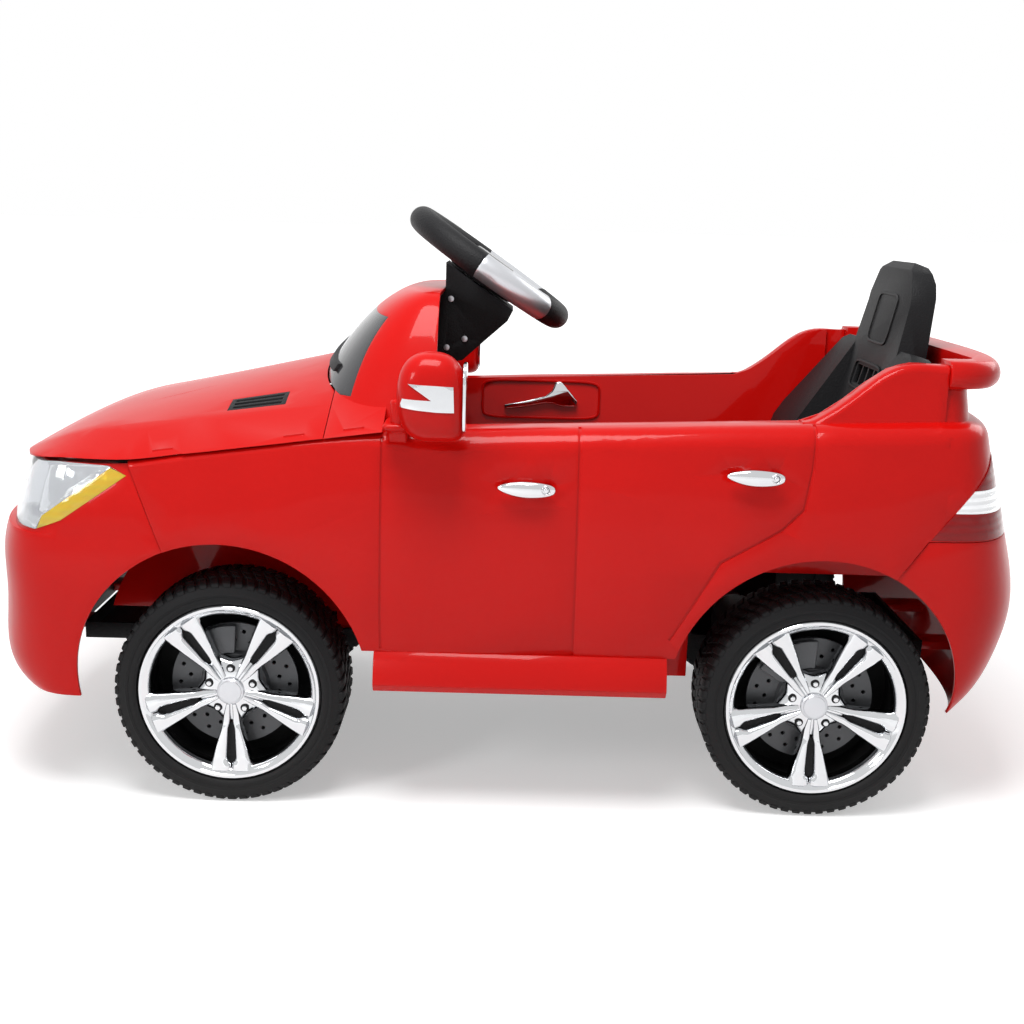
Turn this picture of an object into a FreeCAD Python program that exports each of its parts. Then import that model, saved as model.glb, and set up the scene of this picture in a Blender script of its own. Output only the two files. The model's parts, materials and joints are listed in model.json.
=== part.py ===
import FreeCAD, Part
import Sketcher
import math
import os
import re
import types

V = FreeCAD.Vector

os.makedirs("parts", exist_ok=True)
doc = FreeCAD.newDocument("ride_on_car")
dims = doc.addObject("Spreadsheet::Sheet", "Dims")

# Driving sizes in millimetres and degrees
SIZES = [
    ("body_length", 1100, "nose to tail"),
    ("front_overhang", 267, "nose to front axle"),
    ("wheelbase", 603, "front axle to rear axle"),
    ("half_width", 262, "centre plane to widest door skin"),
    ("end_bow", 14, "narrowing of the skin towards the ends"),
    ("panel_wall", 4, "wall of the moulded panels"),
    ("panel_gap", 0.8, "seam between two panels"),
    ("seam_depth", 1.6, "depth of a moulded door seam"),
    ("seam_width", 3, "width of a moulded door seam"),
    ("tyre_radius", 119, "rolling radius"),
    ("tyre_width", 84, "across the tyre"),
    ("wheel_face_y", 247, "centre plane to outer tyre wall"),
    ("sidewall", 24, "height of the tyre wall"),
    ("disc_gap", 29, "brake disc inside the chrome cover"),
    ("hub_radius", 18, "wheel hub"),
    ("web_back", 30, "wheel back behind the wheel centre"),
    ("cover_seat", 14, "seat of the cover outside the wheel centre"),
    ("axle_radius", 5, "steel axles"),
    ("running_gap", 0.06, "radial clearance of running shafts"),
    ("side_gap", 0.5, "axial clearance of turning pieces"),
    ("sill_z", 172, "lower edge of the doors"),
    ("crease_z", 209, "lower door crease"),
    ("rim_front_z", 395, "door top at the cowl"),
    ("rim_rear_z", 412, "door top at the rear hump"),
    ("fender_tip_z", 360, "fender top at the headlamp"),
    ("rim_inner_y", 205, "inner edge of the door top"),
    ("shoulder_round", 24, "rounding of the door top"),
    ("fender_round", 8, "rounding of the fender top"),
    ("side_bulge", 5, "outward bow of the door skin"),
    ("shoulder_tuck", 9, "skin pulled in at the shoulder"),
    ("crease_tuck", 4, "skin pulled in at the crease"),
    ("sill_tuck", 10, "skin pulled in at the sill"),
    ("flare_height", 7, "outward flare at the wheels"),
    ("flare_reach", 120, "length of a flare along the car"),
    ("hump_z", 473, "top of the rear hump"),
    ("hump_thick", 21, "hump across the car"),
    ("arch_gap", 29, "wheel arch outside the tyre"),
    ("arch_ahead", 6, "arch centre ahead of the axle"),
    ("arch_z", 133, "arch centre height"),
    ("corner_depth", 120, "length of the rounded nose or tail corner"),
    ("corner_power", 2.8, "squareness of the rounded corners"),
    ("chin_z", 112, "lower edge of both bumpers"),
    ("chin_back", 24, "front chin behind the nose"),
    ("bumper_z", 150, "foremost point of the nose"),
    ("ledge_z", 286, "ledge under the headlamps"),
    ("ledge_back", 12, "ledge behind the nose"),
    ("ledge_step", 8, "depth of the ledge"),
    ("nose_top_z", 366, "top of the nose panel"),
    ("nose_top_back", 50, "nose panel top behind the nose"),
    ("tail_z", 222, "rearmost point of the tail"),
    ("tail_chin_back", 58, "rear chin ahead of the tail"),
    ("tail_seam_z", 301, "top edge of the rear bumper"),
    ("tail_seam_back", 17, "seam ahead of the tail"),
    ("tail_top_back", 46, "tail shoulder ahead of the tail"),
    ("deck_z", 450, "underside of the spoiler"),
    ("spoiler_thick", 27, "spoiler height"),
    ("spoiler_back", 35, "spoiler tip ahead of the tail"),
    ("spoiler_bar", 48, "spoiler bar along the car"),
    ("hood_rise", 0.234, "slope of the hood centre"),
    ("hood_z", 395, "hood centre height at the bend"),
    ("hood_bend", 0.0024, "curving down of the hood nose"),
    ("hood_crease_z", 383, "hood crease height at the bend"),
    ("hood_crease_y", 192, "hood crease from the centre plane"),
    ("hood_crease_rise", 0.128, "slope of the hood crease"),
    ("hood_tip_back", 40, "hood tip behind the nose"),
    ("cowl_base_z", 372, "lower edge of the cowl dome"),
    ("cowl_top_z", 526, "top of the cowl dome"),
    ("cowl_base_y", 226, "half width of the dome base"),
    ("cowl_top_y", 140, "half width of the dome top"),
    ("cowl_reach", 168, "dome base ahead of its rear edge"),
    ("cowl_top_reach", 36, "dome top ahead of its rear edge"),
    ("dash_thick", 6, "dashboard panel"),
    ("tub_floor_z", 137, "underside of the tub floor"),
    ("tub_shelf_z", 252, "underside of the seat shelf"),
    ("tray_z", 132, "underside of the tray"),
    ("tray_front_y", 112, "half width of the tray nose"),
    ("tray_rear_y", 100, "half width of the tray tail"),
    ("tray_wall_z", 150, "top of the tray walls"),
    ("pad_z", 126, "underside of the skid pad"),
    ("kingpin_y", 140, "kingpin from the centre plane"),
    ("steer_arm", 38, "kingpin to tie rod pin"),
    ("crank_arm", 18, "steering shaft to crank pin"),
    ("crank_pin", 4, "radius of the linkage pins"),
    ("column_x", -29.5, "steering wheel centre along the car"),
    ("column_z", 547.5, "steering wheel centre height"),
    ("column_tilt", 33.95, "column from the vertical"),
    ("shaft_radius", 6, "steering shaft"),
    ("grip_ring", 92, "steering wheel ring radius"),
    ("grip_tube", 14.5, "steering wheel tube radius"),
    ("hub_ring", 43, "steering hub radius"),
    ("horn_ring", 25, "horn pad radius"),
    ("horn_travel", 2.5, "horn pad stroke"),
    ("mirror_long", 74, "mirror housing along the car"),
    ("mirror_wide", 54, "mirror housing across the car"),
    ("mirror_tall", 80, "mirror housing height"),
    ("socket_radius", 2.75, "charging socket bore"),
    ("socket_depth", 9, "charging socket depth"),
    ("button_radius", 9, "power button"),
    ("button_travel", 3, "power button stroke"),
]

# Places that follow from the driving sizes
PLACES = [
    ("nose_x", "=-body_length / 2", "nose"),
    ("tail_x", "=body_length / 2", "tail"),
    ("front_axle_x", "=-body_length / 2 + front_overhang", "front axle"),
    ("rear_axle_x", "=-body_length / 2 + front_overhang + wheelbase", "rear axle"),
    ("wheel_y", "=wheel_face_y - tyre_width / 2", "wheel centre from the centre plane"),
    ("rim_radius", "=tyre_radius - sidewall", "outside of the chrome cover"),
    ("disc_radius", "=tyre_radius - sidewall - disc_gap", "outside of the brake disc"),
    ("arch_radius", "=tyre_radius + arch_gap", "wheel arch"),
    ("board_front_x", "=-body_length / 2 + front_overhang + 149", "front end of the running boards"),
    ("board_rear_x", "=-body_length / 2 + front_overhang + wheelbase - 157",
     "rear end of the running boards"),
    ("step_x", "=-body_length / 2 + front_overhang + wheelbase - 130", "front of the seat shelf"),
    ("tub_rear_x", "=-body_length / 2 + front_overhang + wheelbase + 86", "rear wall of the tub"),
    ("foot_x", "=-body_length / 2 + front_overhang + 93", "front wall of the foot well"),
    ("boss_top_z", "=tray_wall_z - 3", "top of the kingpin bosses"),
    ("tie_z", "=tray_wall_z + 3", "underside of the tie rod"),
    ("crank_z", "=tray_wall_z + 15", "lower end of the steering shaft"),
    ("fender_x", "=-body_length / 2 + front_overhang - 94", "fender seam at the headlamp"),
    ("cowl_x", "=-body_length / 2 + front_overhang + 98", "rear edge of the hood"),
    ("door_x", "=-body_length / 2 + front_overhang + 156", "front edge of the door"),
    ("dash_x", "=-body_length / 2 + front_overhang + 205", "rear edge of the cowl"),
    ("hump_x", "=-body_length / 2 + front_overhang + wheelbase - 17", "start of the hump"),
    ("side_end_x", "=-body_length / 2 + front_overhang + wheelbase + 110", "rear end of the sides"),
]

for row, (alias, amount, note) in enumerate(SIZES + PLACES, start=1):
    dims.set(f"A{row}", note)
    dims.set(f"B{row}", str(amount))
    dims.setAlias(f"B{row}", alias)
doc.recompute()

ALIASES = {alias for alias, amount, note in SIZES + PLACES}
d = types.SimpleNamespace(**{alias: float(dims.get(alias)) for alias in ALIASES})
NODES = []

# Helpers for bound pieces


def prefixed(text):
    """Expression with every sheet name pointed at the sheet."""
    def pointed(match):
        word = match.group()
        return "Dims." + word if word in ALIASES else word
    return re.sub(r"[a-z][a-z_]*", pointed, str(text))


def number(text):
    """Present value of an expression."""
    return float(dims.evalExpression(prefixed(text)))


def bind(item, field, text):
    """Tie one property of an object to the sheet."""
    item.setExpression(field, prefixed(text))


def block(low, high):
    """Box between two corners."""
    item = doc.addObject("Part::Box", "Block")
    for axis, side, first, last in zip("xyz", ("Length", "Width", "Height"), low, high):
        bind(item, side, f"({last}) - ({first})")
        bind(item, f"Placement.Base.{axis}", first)
    return item


TURNS = {
    "x": FreeCAD.Rotation(V(0, 1, 0), 90),
    "y": FreeCAD.Rotation(V(1, 0, 0), -90),
    "z": FreeCAD.Rotation(V(0, 0, 1), 0),
}


def rod(axis, start, radius, length):
    """Cylinder that runs along one axis from its start point."""
    item = doc.addObject("Part::Cylinder", "Rod")
    item.Placement = FreeCAD.Placement(V(0, 0, 0), TURNS[axis])
    bind(item, "Radius", radius)
    bind(item, "Height", length)
    for letter, text in zip("xyz", start):
        bind(item, f"Placement.Base.{letter}", text)
    return item


def fused(*items):
    """Union of pieces."""
    item = doc.addObject("Part::MultiFuse", "Union")
    item.Shapes = list(items)
    item.Refine = True
    return item


def grouped(*items):
    """Separate solids kept in one group."""
    item = doc.addObject("Part::Compound", "Group")
    item.Links = list(items)
    return item


def trimmed(base, *tools):
    """Base piece with tools taken away."""
    item = doc.addObject("Part::Cut", "Trim")
    item.Base = base
    item.Tool = tools[0] if len(tools) == 1 else grouped(*tools)
    return item


def flipped(item):
    """Copy on the other side of the centre plane."""
    copy = doc.addObject("Part::Mirroring", "Flip")
    copy.Source = item
    copy.Normal = V(0, 1, 0)
    return copy


def node(label, item):
    """Name a finished piece."""
    item.Label = label
    NODES.append(item)
    return item


def formed(label, shape, place=None):
    """Finished piece with a free form."""
    item = doc.addObject("Part::Feature", label)
    item.Shape = shape
    if place is not None:
        item.Placement = place
    return node(label, item)


def sketched(body, name, role, points):
    """Closed sketch whose corners are tied to the sheet."""
    sketch = body.newObject("Sketcher::SketchObject", name)
    plane = [part for part in body.Origin.OriginFeatures if part.Role == role][0]
    sketch.AttachmentSupport = [(plane, "")]
    sketch.MapMode = "FlatFace"
    corners = [V(number(across), number(up), 0) for across, up in points]
    count = len(points)
    for index in range(count):
        sketch.addGeometry(Part.LineSegment(corners[index], corners[(index + 1) % count]), False)
    for index in range(count):
        sketch.addConstraint(Sketcher.Constraint("Coincident", index, 2, (index + 1) % count, 1))
    for index, (across, up) in enumerate(points):
        spot = sketch.addConstraint(Sketcher.Constraint("DistanceX", -1, 1, index, 1, corners[index].x))
        bind(sketch, f"Constraints[{spot}]", across)
        spot = sketch.addConstraint(Sketcher.Constraint("DistanceY", -1, 1, index, 1, corners[index].y))
        bind(sketch, f"Constraints[{spot}]", up)
    return sketch


def revolved(body, name, points):
    """Turned feature about the body's own Z axis."""
    sketch = sketched(body, name + "_profile", "XZ_Plane", points)
    turn = body.newObject("PartDesign::Revolution", name)
    turn.Profile = sketch
    turn.ReferenceAxis = (sketch, ["V_Axis"])
    turn.Angle = 360
    return turn


def pierced(body, name, points, copies):
    """Opening through the body, repeated round its Z axis."""
    sketch = sketched(body, name + "_profile", "XY_Plane", points)
    hole = body.newObject("PartDesign::Pocket", name)
    hole.Profile = sketch
    hole.Type = "ThroughAll"
    hole.Midplane = True
    ring = body.newObject("PartDesign::PolarPattern", name + "_ring")
    ring.Originals = [hole]
    ring.Axis = (sketch, ["N_Axis"])
    ring.Angle = 360
    ring.Occurrences = copies
    body.Tip = ring
    return ring

# Helpers for free forms


def side_block(points, low_y, high_y):
    """Block with a side-view outline."""
    corners = [V(x, low_y, z) for x, z in points]
    return Part.Face(Part.makePolygon(corners + corners[:1])).extrude(V(0, high_y - low_y, 0))


def front_block(points, low_x, high_x):
    """Block with a front-view outline."""
    corners = [V(low_x, y, z) for y, z in points]
    return Part.Face(Part.makePolygon(corners + corners[:1])).extrude(V(high_x - low_x, 0, 0))


def solid_box(low, high):
    """Plain box between two corners."""
    return Part.makeBox(high[0] - low[0], high[1] - low[1], high[2] - low[2], V(*low))


def both(shape):
    """Shape and its mirror image over the centre plane."""
    return [shape, shape.mirror(V(0, 0, 0), V(0, 1, 0))]


def largest(shape):
    """Biggest solid of a shape."""
    return max(shape.Solids, key=lambda solid: solid.Volume)


def ease(value):
    """Smooth step from nought to one."""
    part = min(max(value, 0.0), 1.0)
    return part * part * (3 - 2 * part)


# Side skin: reach from the centre plane at a station along the car


def belt(x):
    """Widest reach of the side at one station."""
    return d.half_width - d.end_bow * (abs(x) / (d.body_length / 2)) ** 4


def flare(x):
    """Extra reach near the wheels."""
    swell = 0.0
    for axle in (d.front_axle_x, d.rear_axle_x):
        swell += math.exp(-((x - axle) / d.flare_reach) ** 2)
    return d.flare_height * swell


def rim_height(x):
    """Top of the side at one station."""
    if x < d.door_x:
        share = (x - d.fender_x) / (d.door_x - d.fender_x)
        return d.fender_tip_z + share * (d.rim_front_z - d.fender_tip_z)
    share = (x - d.door_x) / (d.hump_x - d.door_x)
    return d.rim_front_z + share * (d.rim_rear_z - d.rim_front_z)


def top_round(x):
    """Rounding of the side's top edge, small under the hood."""
    share = ease((x - d.cowl_x) / (d.dash_x - d.cowl_x))
    return d.fender_round + share * (d.shoulder_round - d.fender_round)


def side_profile(x, inset):
    """Corner points of the side skin, as reach and height."""
    wide = belt(x) - inset
    swell = flare(x)
    top = rim_height(x)
    bend = top_round(x)
    lower = (wide - d.sill_tuck + swell, d.sill_z)
    crease = (wide - d.crease_tuck + swell, d.crease_z)
    upper = (wide - d.shoulder_tuck, top - bend)
    middle = ((crease[0] + upper[0]) / 2 + d.side_bulge, (crease[1] + upper[1]) / 2)
    hub = (belt(x) - d.shoulder_tuck - bend, top - bend)
    slant = (bend - inset) * math.sqrt(0.5)
    turn = (hub[0] + slant, hub[1] + slant)
    rim = (hub[0], top - inset)
    return lower, crease, middle, upper, turn, rim


def side_wire(x, outset, inset):
    """Closed section of the left side skin."""
    outer = [V(x, -reach, z) for reach, z in side_profile(x, -outset)]
    inner = [V(x, -reach, z) for reach, z in side_profile(x, inset)]
    lip = V(x, -d.rim_inner_y, rim_height(x) + outset)
    under = V(x, -d.rim_inner_y, rim_height(x) - inset)
    edges = [
        Part.makeLine(outer[0], outer[1]),
        Part.Arc(outer[1], outer[2], outer[3]).toShape(),
        Part.Arc(outer[3], outer[4], outer[5]).toShape(),
        Part.makeLine(outer[5], lip),
        Part.makeLine(lip, under),
        Part.makeLine(under, inner[5]),
        Part.Arc(inner[5], inner[4], inner[3]).toShape(),
        Part.Arc(inner[3], inner[2], inner[1]).toShape(),
        Part.makeLine(inner[1], inner[0]),
        Part.makeLine(inner[0], outer[0]),
    ]
    return Part.Wire(edges)


MIDDLE_X = (d.door_x + d.rear_axle_x) / 2
SIDE_STATIONS = [d.fender_x - 10, d.front_axle_x - 50, d.front_axle_x, d.front_axle_x + 50, d.cowl_x]
SIDE_STATIONS += [(d.cowl_x + d.door_x) / 2, d.door_x, d.dash_x, (d.dash_x + MIDDLE_X) / 2, MIDDLE_X]
SIDE_STATIONS += [d.rear_axle_x - 150, d.rear_axle_x - 75, d.rear_axle_x, d.rear_axle_x + 60, d.side_end_x]


def side_skin(outset, inset):
    """Left side from the headlamp to the tail."""
    return Part.makeLoft([side_wire(x, outset, inset) for x in SIDE_STATIONS], True, False)


def side_core(inset):
    """Solid left side within the skin, down to the sill."""
    wires = []
    for x in SIDE_STATIONS:
        lower, crease, middle, upper, turn, rim = [V(x, -reach, z) for reach, z in side_profile(x, inset)]
        high = V(x, -d.tray_front_y, rim.z)
        low = V(x, -d.tray_front_y, lower.z)
        edges = [
            Part.makeLine(lower, crease),
            Part.Arc(crease, middle, upper).toShape(),
            Part.Arc(upper, turn, rim).toShape(),
            Part.makeLine(rim, high),
            Part.makeLine(high, low),
            Part.makeLine(low, lower),
        ]
        wires.append(Part.Wire(edges))
    return Part.makeLoft(wires, True, False)


def under_rim(inner_y, lift):
    """Left block under the level of the door tops, outside a given plane."""
    stations = (d.fender_x, d.door_x, d.hump_x)
    top = [(x, rim_height(x) + lift) for x in stations]
    return side_block([(stations[0], 0)] + top + [(stations[-1], 0)], -d.half_width - 60, -inner_y)


def rim_pad(x):
    """Left foot under the hood edge that stands on the fender top."""
    wide = belt(x) - d.shoulder_tuck - d.fender_round
    low = [(spot, rim_height(spot) - d.panel_gap) for spot in (x - 10, x + 10)]
    high = [(spot, rim_height(spot) + d.panel_gap + 6) for spot in (x + 10, x - 10)]
    return side_block(low + high, -wide + 2, -wide + 18)


def side_reach(x, z):
    """Reach of the outer skin at a station and height."""
    lower, crease, middle, upper, turn, rim = side_profile(x, 0)
    if z <= crease[1]:
        share = (z - lower[1]) / (crease[1] - lower[1])
        return lower[0] + share * (crease[0] - lower[0])
    if z <= upper[1]:
        share = (z - crease[1]) / (upper[1] - crease[1])
        return crease[0] + share * (upper[0] - crease[0]) + 4 * d.side_bulge * share * (1 - share)
    bend = top_round(x)
    drop = min(z - upper[1], bend)
    return upper[0] - bend + math.sqrt(bend * bend - drop * drop)


# Nose and tail: rounded plan curves stacked in height


def plan_edge(tip_x, start_x, leg_x, reach, z):
    """Rounded end with straight legs from one side of the car to the other."""
    legs = [leg_x + (start_x - leg_x) * share for share in (0, 0.35, 0.7)] if leg_x != start_x else []
    points = [V(x, -reach, z) for x in legs]
    for step in range(17):
        angle = math.pi * (step / 16 - 0.5)
        across = math.copysign(abs(math.sin(angle)) ** (2 / d.corner_power), angle)
        along = abs(math.cos(angle)) ** (2 / d.corner_power) if 0 < step < 16 else 0.0
        points.append(V(start_x + (tip_x - start_x) * along, reach * across, z))
    points += [V(x, reach, z) for x in reversed(legs)]
    curve = Part.BSplineCurve()
    curve.interpolate(points)
    return curve.toShape()


def end_wire(z, tip_x, start_x, leg_x, reach, outset, inset):
    """Closed U section of a nose or tail skin."""
    ahead = 1 if tip_x > start_x else -1
    wide = reach + outset
    slim = reach - inset
    inner = plan_edge(tip_x - ahead * inset, start_x, leg_x, slim, z)
    edges = [
        plan_edge(tip_x + ahead * outset, start_x, leg_x, wide, z),
        Part.makeLine(V(leg_x, wide, z), V(leg_x, slim, z)),
        inner.reversed(),
        Part.makeLine(V(leg_x, -slim, z), V(leg_x, -wide, z)),
    ]
    return Part.Wire(edges)


def filled_wire(z, tip_x, start_x, leg_x, reach):
    """Closed D section."""
    edge = plan_edge(tip_x, start_x, leg_x, reach, z)
    back = Part.makeLine(V(leg_x, reach, z), V(leg_x, -reach, z))
    return Part.Wire([edge, back])


FRONT_START = d.nose_x + d.corner_depth
FRONT_LEG = d.front_axle_x - 40
REAR_START = d.tail_x - d.corner_depth
REAR_LEG = d.rear_axle_x + 60


def nose_skin(levels, outset, inset):
    """Nose panel through heights and setbacks."""
    wires = []
    for z, back in levels:
        reach = side_reach(d.fender_x, z)
        wires.append(end_wire(z, d.nose_x + back, FRONT_START, FRONT_LEG, reach, outset, inset))
    return Part.makeLoft(wires, True, False)


NOSE_LOW = [
    (d.chin_z, d.chin_back),
    ((d.chin_z + d.bumper_z) / 2, d.chin_back * 0.2),
    (d.bumper_z, 0),
    ((d.bumper_z + d.ledge_z) / 2, d.ledge_back * 0.45),
    (d.ledge_z, d.ledge_back),
]
LEDGE_TOP = d.ledge_back + d.ledge_step
NOSE_HIGH = [
    (d.ledge_z - d.panel_wall, LEDGE_TOP),
    ((d.ledge_z + d.nose_top_z) / 2, LEDGE_TOP + 0.42 * (d.nose_top_back - LEDGE_TOP)),
    (d.nose_top_z, d.nose_top_back),
]


def tail_levels():
    """Heights and setbacks of the tail panel up to its shoulder."""
    bend = top_round(d.side_end_x)
    hub = rim_height(d.side_end_x) - bend
    levels = [
        (d.chin_z, d.tail_chin_back),
        (d.chin_z + 0.22 * (d.tail_z - d.chin_z), d.tail_chin_back * 0.5),
        (d.chin_z + 0.62 * (d.tail_z - d.chin_z), d.tail_chin_back * 0.13),
        (d.tail_z, 0),
        (d.tail_seam_z, d.tail_seam_back),
        ((d.tail_seam_z + hub) / 2, (d.tail_seam_back + d.tail_top_back) / 2),
    ]
    for lift in (0.0, 0.55, 0.87, 1.0):
        tuck = bend - bend * math.sqrt(1 - lift * lift)
        levels.append((hub + lift * bend, d.tail_top_back + tuck))
    return levels


def tail_skin(levels, leg_x, outset, inset):
    """Tail panel through heights and setbacks."""
    wires = []
    for z, back in levels:
        reach = side_reach(d.side_end_x, z)
        wires.append(end_wire(z, d.tail_x - back, REAR_START, leg_x, reach, outset, inset))
    return Part.makeLoft(wires, True, False)


# Hood: crowned sheet with a crease on each side
HOOD_BEND_X = d.front_axle_x - 137


def hood_heights(x):
    """Heights of hood centre, crease and side edge."""
    ahead = max(HOOD_BEND_X - x, 0.0)
    run = x - HOOD_BEND_X
    centre = d.hood_z + d.hood_rise * run - d.hood_bend * ahead * ahead
    crease = d.hood_crease_z + d.hood_crease_rise * run - (d.hood_bend + 0.0002) * ahead * ahead
    edge = min(rim_height(max(x, d.fender_x)) + d.panel_gap, crease - 10)
    return centre, crease, edge


def hood_wire(x):
    """Closed section of the hood sheet."""
    centre, crease, edge = hood_heights(x)
    rim = belt(x) - d.shoulder_tuck
    wall = d.panel_wall
    fold = d.hood_crease_y
    edges = [
        Part.makeLine(V(x, -rim, edge), V(x, -fold, crease)),
        Part.Arc(V(x, -fold, crease), V(x, 0, centre), V(x, fold, crease)).toShape(),
        Part.makeLine(V(x, fold, crease), V(x, rim, edge)),
        Part.makeLine(V(x, rim, edge), V(x, rim - 2 * wall, edge)),
        Part.makeLine(V(x, rim - 2 * wall, edge), V(x, fold - wall / 2, crease - wall)),
        Part.Arc(V(x, fold - wall / 2, crease - wall), V(x, 0, centre - wall),
                 V(x, wall / 2 - fold, crease - wall)).toShape(),
        Part.makeLine(V(x, wall / 2 - fold, crease - wall), V(x, 2 * wall - rim, edge)),
        Part.makeLine(V(x, 2 * wall - rim, edge), V(x, -rim, edge)),
    ]
    return Part.Wire(edges)


def under_hood_wire(x, drop):
    """Closed section of the space under the hood."""
    centre, crease, edge = hood_heights(x)
    rim = belt(x) + 20
    shelf = belt(x) - d.shoulder_tuck - 2 * drop
    fold = d.hood_crease_y
    low = d.chin_z - 20
    edges = [
        Part.makeLine(V(x, -rim, low), V(x, -rim, edge - drop)),
        Part.makeLine(V(x, -rim, edge - drop), V(x, -shelf, edge - drop)),
        Part.makeLine(V(x, -shelf, edge - drop), V(x, -fold, crease - drop)),
        Part.Arc(V(x, -fold, crease - drop), V(x, 0, centre - drop), V(x, fold, crease - drop)).toShape(),
        Part.makeLine(V(x, fold, crease - drop), V(x, shelf, edge - drop)),
        Part.makeLine(V(x, shelf, edge - drop), V(x, rim, edge - drop)),
        Part.makeLine(V(x, rim, edge - drop), V(x, rim, low)),
        Part.makeLine(V(x, rim, low), V(x, -rim, low)),
    ]
    return Part.Wire(edges)


HOOD_STATIONS = [d.cowl_x + (d.fender_x + 12 - d.cowl_x) * step / 6 for step in range(7)]
HOOD_STATIONS += [d.fender_x - 12, HOOD_BEND_X, HOOD_BEND_X - 40, HOOD_BEND_X - 80, d.nose_x]


def hood_sheet(stations):
    """Hood sheet between the given stations."""
    return Part.makeLoft([hood_wire(x) for x in stations], True, False)


# Cowl dome: rounded hood over the dashboard


DOME_SHAPE = [(0, 0, 0), (0.33, 0.2, 0.24), (0.6, 0.4, 0.44), (0.84, 0.64, 0.68), (0.95, 0.82, 0.85),
              (1, 1, 1)]
DOME_END = d.dash_x + 20


def cowl_dome(inset):
    """Solid dome, smaller by the inset, run on to the rear."""
    span = d.cowl_top_z - d.cowl_base_z
    wires = []
    for share, slim, lean in DOME_SHAPE:
        reach = d.cowl_base_y + slim * (d.cowl_top_y - d.cowl_base_y) - inset
        ahead = d.cowl_reach + lean * (d.cowl_top_reach - d.cowl_reach) - inset
        z = d.cowl_base_z + share * (span - inset)
        wires.append(filled_wire(z, d.dash_x - ahead, d.dash_x, DOME_END, reach))
    return Part.makeLoft(wires, True, False)


# Wheel arch cutter


def arch_cutter(axle_x, grow):
    """Cylinder that opens both arches of one axle."""
    start = V(axle_x - d.arch_ahead, -d.half_width - 60, d.arch_z)
    return Part.makeCylinder(d.arch_radius + grow, 2 * d.half_width + 120, start, V(0, 1, 0))


front_arch = arch_cutter(d.front_axle_x, 0)
rear_arch = arch_cutter(d.rear_axle_x, 0)
OUT_Y = d.half_width + 60
WELL_Y = d.tray_front_y + 2
body_core = side_core(d.panel_wall / 2)


def wheel_well(axle_x, inner_y):
    """Lining of a left wheel arch, from an inner plane out to the skin."""
    ring = arch_cutter(axle_x, d.panel_wall).cut(arch_cutter(axle_x, 0))
    window = solid_box((d.nose_x, -OUT_Y, d.sill_z), (d.tail_x, -inner_y, d.rim_rear_z))
    return ring.common(window).common(body_core)


well_wall = arch_cutter(d.front_axle_x, d.panel_wall).common(
    solid_box((d.nose_x, -WELL_Y - d.panel_wall, d.sill_z), (d.tail_x, -WELL_Y, d.rim_rear_z)))

# Seam between fender and front bumper


def front_region(shift):
    """Everything ahead of the slanted fender seam."""
    low = (d.front_axle_x + 48 + shift, 0)
    high = (d.fender_x - 99 + shift, 600)
    return side_block([(d.nose_x - 50, 0), low, high, (d.nose_x - 50, 600)], -OUT_Y, OUT_Y)


def rear_region(shift):
    """Everything behind the slanted rear seam and under the tail lamps."""
    top = d.tail_seam_z - shift
    low = (d.rear_axle_x - 128 + shift, 0)
    high = (d.rear_axle_x + 96 + shift, top)
    return side_block([low, (d.tail_x + 50, 0), (d.tail_x + 50, top), high], -OUT_Y, OUT_Y)


# Lamp outlines in side view
HEAD_OUTLINE = [
    (d.nose_x - 20, d.ledge_z + 6), (d.fender_x - 94, d.ledge_z + 3), (d.fender_x - 66, d.ledge_z + 14),
    (d.fender_x - 2, d.fender_tip_z - 15), (d.fender_x - 20, d.fender_tip_z - 6),
    (d.fender_x - 72, d.fender_tip_z - 3), (d.nose_x - 20, d.fender_tip_z - 3),
]
TURN_OUTLINE = [
    (d.fender_x - 92, d.ledge_z + 3.2), (d.fender_x - 66, d.ledge_z + 14), (d.fender_x - 2, d.fender_tip_z - 15),
    (d.fender_x - 18, d.fender_tip_z - 8), (d.fender_x - 60, d.ledge_z + 36), (d.fender_x - 86, d.ledge_z + 17),
]
TAIL_LAMP_TOP = d.tail_seam_z + 81
TAIL_OUTLINE = [
    (d.rear_axle_x + 97, d.tail_seam_z + 2), (d.rear_axle_x + 132, d.tail_seam_z + 44),
    (d.rear_axle_x + 166, TAIL_LAMP_TOP), (d.tail_x + 20, TAIL_LAMP_TOP + 3), (d.tail_x + 20, d.tail_seam_z + 2),
]
HEAD_INNER_Y = d.half_width - 97
TAIL_INNER_Y = d.half_width - 112

head_opening = side_block(HEAD_OUTLINE, -OUT_Y, -HEAD_INNER_Y)
turn_opening = side_block(TURN_OUTLINE, -OUT_Y, -HEAD_INNER_Y - 5)
tail_opening = side_block(TAIL_OUTLINE, -OUT_Y, -TAIL_INNER_Y)

# Body shell: both sides, humps and the tail above the bumper


def strip(points, wide):
    """Narrow side-view band along a line of points."""
    pieces = []
    for (x0, z0), (x1, z1) in zip(points, points[1:]):
        long = math.hypot(x1 - x0, z1 - z0)
        ux, uz = (x1 - x0) / long * wide / 2, (z1 - z0) / long * wide / 2
        outline = [(x0 - ux - uz, z0 - uz + ux), (x0 - ux + uz, z0 - uz - ux),
                   (x1 + ux + uz, z1 + uz - ux), (x1 + ux - uz, z1 + uz + ux)]
        pieces.append(side_block(outline, -OUT_Y, -d.rim_inner_y - d.shoulder_round))
    return pieces


def hump_top(x):
    """Height of the hump at one station."""
    share = ease((x - d.hump_x + 15) / 107)
    return rim_height(d.hump_x) + 1 + share * (d.hump_z - rim_height(d.hump_x) - 1)


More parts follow.
